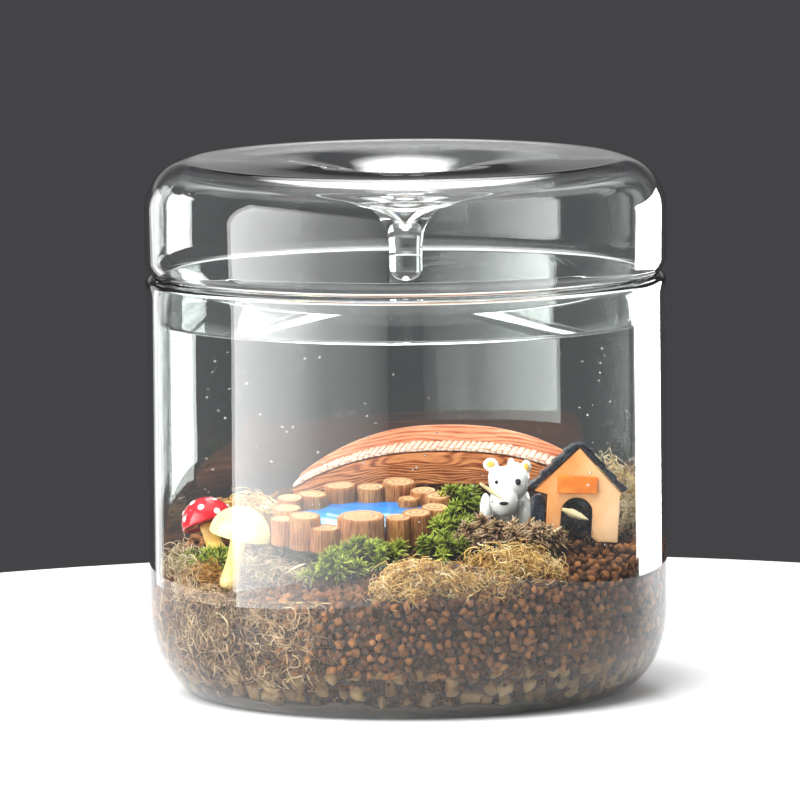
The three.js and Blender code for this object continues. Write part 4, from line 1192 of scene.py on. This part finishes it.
def arched_bar(lower, upper, front, back, corner, left=-BRIDGE_HALF, right=BRIDGE_HALF, steps=96):
    """A bar with rounded corners between two arched edges, from left to right.

    Its grain heights count from the lower edge, so that the grain follows the arch.
    """
    places = np.linspace(left, right, steps + 1)
    ends = np.minimum(1, np.minimum(places - left, right - places) / corner + 0.25)
    vertices, grain, count = [], [], 16
    for x, close in zip(places, ends):
        low, high = arch(x, *lower), arch(x, *upper)
        r = min(corner, (high - low) * 0.45)
        for quarter in range(4):
            cy = front + r if quarter in (0, 3) else back - r
            cz = low + r if quarter in (0, 1) else high - r
            start = 180 + 90 * quarter
            for y, z in arc(cy, cz, close * r, close * r, start, start + 90, 3):
                vertices.append((x, y, z))
                grain.append(z + 0.35 * y - low - 0.45 * (high - low))
    caps = [range(count), range((steps + 1) * count - 1, steps * count - 1, -1)]
    return np.array(vertices), [*band(steps + 1, count)[:, [0, 3, 2, 1]], *caps], np.array(grain)


def plank_look(name, swirl, relief, colors):
    """Painted resin with a carved grain that runs along the arch and swirls round knots."""
    look = Look(name, Specular_IOR_Level=0.3)
    x, y, _ = look.split()
    across = look.math("MULTIPLY", look.tone(), MM)
    along = look.node("ShaderNodeCombineXYZ", X=x, Y=y, Z=across).outputs[0]
    bends = look.noise(9, 1.0, look.stretched(along, (0.5, 0.3, 2.0)))
    level = look.summed((across, 1), (bends, swirl * MM))
    lines = look.math("SINE", look.math("MULTIPLY", level, 2 * pi / (0.95 * MM)))
    fine = look.noise(0.55, 3.0, look.stretched(along, (0.1, 0.3, 1.0)))
    mark = look.summed((lines, 0.22), (fine, 1))
    base = look.ramp(mark, *((place, *color) for place, color in zip((0.22, 0.42, 0.72), colors)))
    drift = look.ramp(look.noise(12, 2.0), (0.35, 0.78, 0.68, 0.64), (0.65, 1.0, 1.0, 1.0))
    look.join(look.multiplied(0.8, base, drift), look.bsdf.inputs["Base Color"])
    look.rough(mark, 0.4, 0.6)
    look.bump(mark, relief)
    return look.material


def add_bridge():
    def add(name, made, look, slot, node):
        piece(name, turned(made, BRIDGE_TURN, BRIDGE_AT), look, slot, node)

    colors = (0.2, 0.045, 0.012), (0.46, 0.15, 0.046), (0.64, 0.26, 0.1)
    brown = plank_look("bridge_brown", 9.0, 0.2, colors)
    colors = (0.42, 0.12, 0.055), (0.66, 0.25, 0.13), (0.76, 0.36, 0.21)
    salmon = plank_look("bridge_salmon", 3.0, 0.1, colors)
    colors = (0.64, 0.3, 0.19), (0.92, 0.66, 0.52), (0.97, 0.8, 0.68)
    pale = plank_look("bridge_pale", 1.5, 0.1, colors)
    under_deck = (DECK_END - DECK_THICK, DECK_RISE)
    made = arched_bar(LOW_EDGE, (under_deck[0] - GAP, DECK_RISE), 0, BOARD, 0.35)
    add("front_board", made, brown, "bridge_brown", "bridge_front_board")
    back = BRIDGE_WIDTH
    made = arched_bar(LOW_EDGE, (DECK_END + 0.4, BACK_RISE), back, back + BOARD, 0.5)
    add("back_board", made, salmon, "bridge_salmon", "bridge_back_board")
    rng = np.random.default_rng(29)
    pitch = 2 * BRIDGE_HALF / PLANKS
    bars = [(-BRIDGE_HALF, BRIDGE_HALF, -0.5, 0.35, 60)]
    for left in np.arange(PLANKS) * pitch - BRIDGE_HALF:
        bars.append((left + 0.12, left + pitch - 0.12, rng.uniform(-0.12, 0.1), None, 5))
    parts, grain = [], []
    for left, right, lift, inset, steps in bars:
        edges = under_deck, (DECK_END + lift, DECK_RISE)
        front = -GAP + (inset or rng.uniform(0, 0.3))
        *bar, lines = arched_bar(*edges, front, BRIDGE_WIDTH - GAP, 0.22, left, right, steps)
        parts.append(bar)
        grain.append(lines + rng.uniform(0, 5))
    add("deck_planks", (*stacked(parts), np.concatenate(grain)), pale, "bridge_pale", "bridge_deck")


# --- kennel


def dressed(mesh, look):
    """The mesh, smooth and in one material."""
    mesh.materials.clear()
    mesh.materials.append(look)
    mesh.polygons.foreach_set("use_smooth", np.ones(len(mesh.polygons), bool))
    return mesh


def rounded_copy(node, name, width, look, slot, segments=3):
    """A node's own shape with its edges rounded, as cast and painted resin has them."""
    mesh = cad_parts[node].data.copy()
    mesh.name = name
    made = bmesh.new()
    made.from_mesh(mesh)
    bmesh.ops.remove_doubles(made, verts=made.verts, dist=0.01 * MM)
    bmesh.ops.dissolve_limit(made, angle_limit=radians(8), verts=made.verts, edges=made.edges)
    sharp = [e for e in made.edges if len(e.link_faces) == 2 and e.calc_face_angle() > radians(24)]
    settings = {"profile": 0.5, "affect": "EDGES", "clamp_overlap": True, "miter_outer": "ARC"}
    bmesh.ops.bevel(made, geom=sharp, offset=width * MM, segments=segments, **settings)
    bmesh.ops.triangulate(made, faces=[f for f in made.faces if len(f.verts) > 4])
    made.to_mesh(mesh)
    made.free()
    for attribute in {"sharp_face", "custom_normal"} & set(mesh.attributes.keys()):
        mesh.attributes.remove(mesh.attributes[attribute])
    dressed(mesh, look).set_sharp_from_angle(angle=radians(50))
    finished(name, mesh, slot, node)


def add_kennel():
    wall = Look("kennel_peach", Specular_IOR_Level=0.4)
    x, _, z = wall.split()
    centre_x, foot_z = KENNEL_AT[0] * MM, KENNEL_AT[2] * MM
    # The wall is darker and more orange towards its left and its top.
    left = wall.spread(x, centre_x + 6 * MM, centre_x - 9 * MM)
    high = wall.spread(z, foot_z + 5 * MM, foot_z + 19 * MM)
    drift = wall.spread(wall.noise(6, 3.0), 0.3, 0.7, -0.12, 0.2)
    wall.color(wall.summed((left, 0.45), (high, 0.35), (drift, 1)), *RAMPS["peach"])
    wall.rough(wall.noise(3), 0.28, 0.42)
    wall.bump(wall.noise(1.6, 3.0), 0.12)
    navy = paint("kennel_navy")
    rounded_copy("kennel_front", "kennel_front_wall", 0.28, wall.material, "kennel_peach")
    rounded_copy("kennel_body", "kennel_shell", 0.25, navy, "kennel_navy")
    rounded_copy("kennel_roof", "kennel_shingles", 0.3, navy, "kennel_navy")
    rounded_copy("kennel_sign", "kennel_plate", 0.22, paint("kennel_orange"), "kennel_orange")
    rounded_copy("kennel_side_post", "kennel_post", 0.6, navy, "kennel_navy", 4)


# --- dog

# Middle and radii of each.
DOG_PARTS = [
    ((0.8, 6, 5.6), (4.9, 6.4, 5.2)), ((0.5, -0.8, 11), (4.6, 4, 4.2)),
    ((-1.6, -0.6, 12.3), (2.7, 3, 2.7)), ((2.6, -0.6, 12.2), (2.7, 3, 2.7)),
    ((-0.6, -3.2, 7.2), (3.2, 3.4, 3.6)), ((-3.6, -0.6, 15.4), (1.8, 0.9, 1.6)),
    ((4.5, -0.6, 14.8), (1.2, 0.8, 1.7)), ((1.1, -0.8, 15.4), (0.9, 1, 1.6)),
    ((2.4, -0.8, 14.8), (0.9, 1, 1.2)), ((-4.8, 0.4, 4.4), (1.4, 1.9, 4.4)),
    ((4.2, 0.4, 3.6), (1.5, 1.9, 3.6)), ((-3, 10.6, 3.3), (1.6, 2.2, 3.3)),
    ((3.6, 10.2, 3.3), (1.6, 2.2, 3.3)), ((0.4, 12.2, 8.4), (1.2, 1.9, 1.9)),
]
DOG_FEATURES = [
    ((-2.3, -4.0, 11.7), (0.45, 0.25, 0.45), 2), ((2.5, -4.3, 11.7), (0.72, 0.3, 0.76), 3),
    ((-0.75, -6.5, 7.05), (1.05, 0.5, 0.46), 3),
]
DOG_EARS = [((4.5, -1.2, 14.7), (0.7, 0.3, 1.1), 2), ((-3.6, -1.3, 15.5), (1.0, 0.28, 0.8), 2)]


def add_dog():
    def domes(parts):
        vertices, faces, _ = joined([dome(*part) for part in parts])
        return vertices + DOG_AT, faces

    rough = shown("dog_rough", new_mesh("dog_rough", domes(DOG_PARTS), []))
    skin = rough.modifiers.new("skin", "REMESH")
    skin.mode, skin.voxel_size, skin.adaptivity = "VOXEL", 0.22 * MM, 0
    soften = rough.modifiers.new("soften", "SMOOTH")
    soften.factor, soften.iterations = 0.5, 5
    graph = bpy.context.evaluated_depsgraph_get()
    mesh = bpy.data.meshes.new_from_object(rough.evaluated_get(graph))
    bpy.data.objects.remove(rough)
    finished("dog_body", dressed(mesh, paint("dog_white")), "dog_white", "dog")
    piece("dog_eyes_and_nose", domes(DOG_FEATURES), paint("dog_features"), "kennel_navy")
    piece("dog_inner_ears", domes(DOG_EARS), paint("dog_ears"), "kennel_orange")


# --- toadstools


def toadstool(name, at, turn, cap, stem, cap_slot, stem_slot):
    """A cap over a hollowed underside with a rolled rim, on a swollen stem."""
    (radius, height), (stem_r, foot_r, stem_h) = cap, stem
    foot = smoothed([
        (0, stem_h), (stem_r, stem_h), (stem_r, stem_h * 0.7), (stem_r * 1.02, stem_h * 0.45),
        (foot_r, foot_r * 0.9), (foot_r * 0.8, 0.2), (0, 0),
    ], 5)
    made = turned(lathe(foot, 32), turn, at)
    piece(f"{name}_stalk", made, paint(stem_slot), stem_slot, f"{name}_stem")
    low = stem_h + GAP
    over = arc(0, low, radius, height, 90, 12, 18)
    rim = arc(radius - 0.45, low + 0.1, 0.45, 0.6, 0, -150, 6)
    made = turned(lathe([*over, *rim, (radius * 0.55, low - 0.05), (0, low)], 56), turn, at)
    piece(f"{name}_crown", made, paint(cap_slot), cap_slot, f"{name}_cap")


def add_toadstools():
    toadstool("toadstool_red", *RED_TOADSTOOL, "cap_red", "stem_orange")
    toadstool("toadstool_yellow", *YELLOW_TOADSTOOL, "cap_yellow", "stem_yellow")
    place, turn, (radius, height), (_, _, low) = RED_TOADSTOOL
    dots, count = [], 15
    for i in range(count):
        out = direction(i * GOLDEN + 0.4, asin((i + 0.6) / count))
        size = 0.55 + 0.35 * (i * 7 % 5) / 5
        dot, faces, tone = dome((0, 0, 0), (size, size, 0.22), 2)
        upright = np.array(Vector(out).to_track_quat("Z", "Y").to_matrix())
        at = out * [radius, radius, height] + [0, 0, low + GAP]
        dots.append((dot @ upright.T + at, faces, tone))
    made = turned(joined(dots)[:2], turn, place)
    piece("toadstool_red_dots", made, paint("cap_dots"), "dog_white")


# --- stage

TABLE_AT = (3, -2, 0)
TABLE_R = 256
TABLE_NARROW = 0.89


def add_stage():
    rim = arc(TABLE_R - 4, -4.1, 4, 4, 90, 0, 8)
    vertices, faces = lathe([(0, -0.1), *rim, (TABLE_R, -30), (0, -30)], 180)
    look = Look("table_white", Specular_IOR_Level=0.3)
    look.color(look.noise(60, 2.0), (0.3, 0.86, 0.86, 0.87), (0.7, 0.9, 0.9, 0.9))
    look.rough(look.noise(30), 0.4, 0.5)
    made = vertices * [TABLE_NARROW, 1, 1] + TABLE_AT, faces
    shown("table", new_mesh("table", made, [look.material]))
    world = bpy.data.worlds.new("room")
    bpy.context.scene.world = world
    world.use_nodes = True
    room = Tree(world.node_tree)
    way = room.node("ShaderNodeTexCoord").outputs["Generated"]
    toward = room.measured("DOT_PRODUCT", way, (0, 0.993, -0.116))
    walls = room.ramp(toward, (0.35, 0.25, 0.25, 0.255), (0.95, 0.058, 0.058, 0.062))
    room.join(walls, room.tree.nodes["Background"].inputs[0])


def add_lamp(name, place, facing, size, radiance, stops=(), round_off=False):
    """A soft rectangular lamp. Lengths are in metres.

    Its stops, each a place and a share, are its brightness across it or from its middle outwards.
    """
    data = bpy.data.lights.new(name, "AREA")
    data.shape = "RECTANGLE"
    data.size, data.size_y = size
    data.energy = radiance * pi * size[0] * size[1]
    lamp = shown(name, data)
    lamp.location = place
    lamp.rotation_euler = Vector(facing).to_track_quat("-Z", "Y").to_euler()
    lamp.visible_camera = False
    if stops:
        data.use_nodes = True
        glow = Tree(data.node_tree)
        spot = glow.node("ShaderNodeNewGeometry").outputs["Parametric"]
        operation, other = ("DISTANCE", (0.5, 0.5, 0)) if round_off else ("DOT_PRODUCT", (1, 0, 0))
        reach = glow.measured(operation, spot, other)
        shares = glow.ramp(reach, *((where, share, share, share) for where, share in stops))
        glow.join(shares, glow.tree.nodes["Emission"].inputs["Strength"])
    return lamp


def add_panel(name, start, end, low, high, radiance, stops=()):
    """An upright soft lamp over the line from start to end on the floor, facing the jar."""
    start, end = Vector((*start, 0)), Vector((*end, 0))
    middle, length = (start + end) / 2, (end - start).length
    facing = Vector((-(end - start).y, (end - start).x, 0)).normalized()
    if facing.dot(-middle) < 0:
        facing.negate()
    across = facing.to_track_quat("-Z", "Y").to_matrix() @ Vector((1, 0, 0))
    if across.dot(end - start) < 0:
        stops = [(1 - where, share) for where, share in reversed(stops)]
    place = middle + Vector((0, 0, (low + high) / 2))
    add_lamp(name, place, facing, (length, high - low), radiance, stops)


def around(azimuth, distance):
    """A point on the floor, by its bearing from the camera's side in degrees to the right."""
    angle = radians(azimuth)
    return distance * sin(angle), -distance * cos(angle)


def add_lights():
    soft = [(0.12, 1.0), (0.3, 0.6), (0.5, 0.0)]
    add_lamp("ceiling", (0, 0, 0.95), (0, 0, -1), (1.4, 1.4), 1.7, [(0.2, 1.0), (0.5, 0.1)], True)
    add_lamp("top_back", (0, 0.66, 0.74), (0, -1, -0.93), (0.34, 0.95), 5.8, soft, True)
    add_lamp("low_back", (-0.1, 1.1, 0.235), (0, -1, -0.1), (1.1, 0.13), 0.36, soft, True)
    fill = add_lamp("fill", (-0.22, -0.34, 0.78), (0.2, 0.32, -0.78), (0.5, 0.5), 15.0)
    fill.visible_glossy = False
    fill.visible_transmission = False
    fading = [(0.0, 1.0), (0.24, 0.64), (0.454, 0.27), (0.74, 0.14), (1.0, 0.03)]
    add_panel("left_window", around(-80, 0.45), around(-8, 0.8), -0.3, 0.42, 7.7, fading)
    add_panel("right_back", around(122, 0.9), around(152, 0.9), -0.15, 0.21, 11)
    add_panel("left_back_dim", around(-151, 0.8), around(-139, 0.8), -0.15, 0.25, 1.2)


# --- build

for add in (
    add_camera, add_stage, add_lights, add_glass, add_core, add_silt, add_granules, add_gravel,
    add_tufts, add_sphagnum, add_packed, add_humus, add_fluff, add_droplets, add_flakes, add_pond,
    add_bridge, add_kennel, add_dog, add_toadstools,
):
    add()

bpy.context.scene.view_settings.view_transform = "Standard"
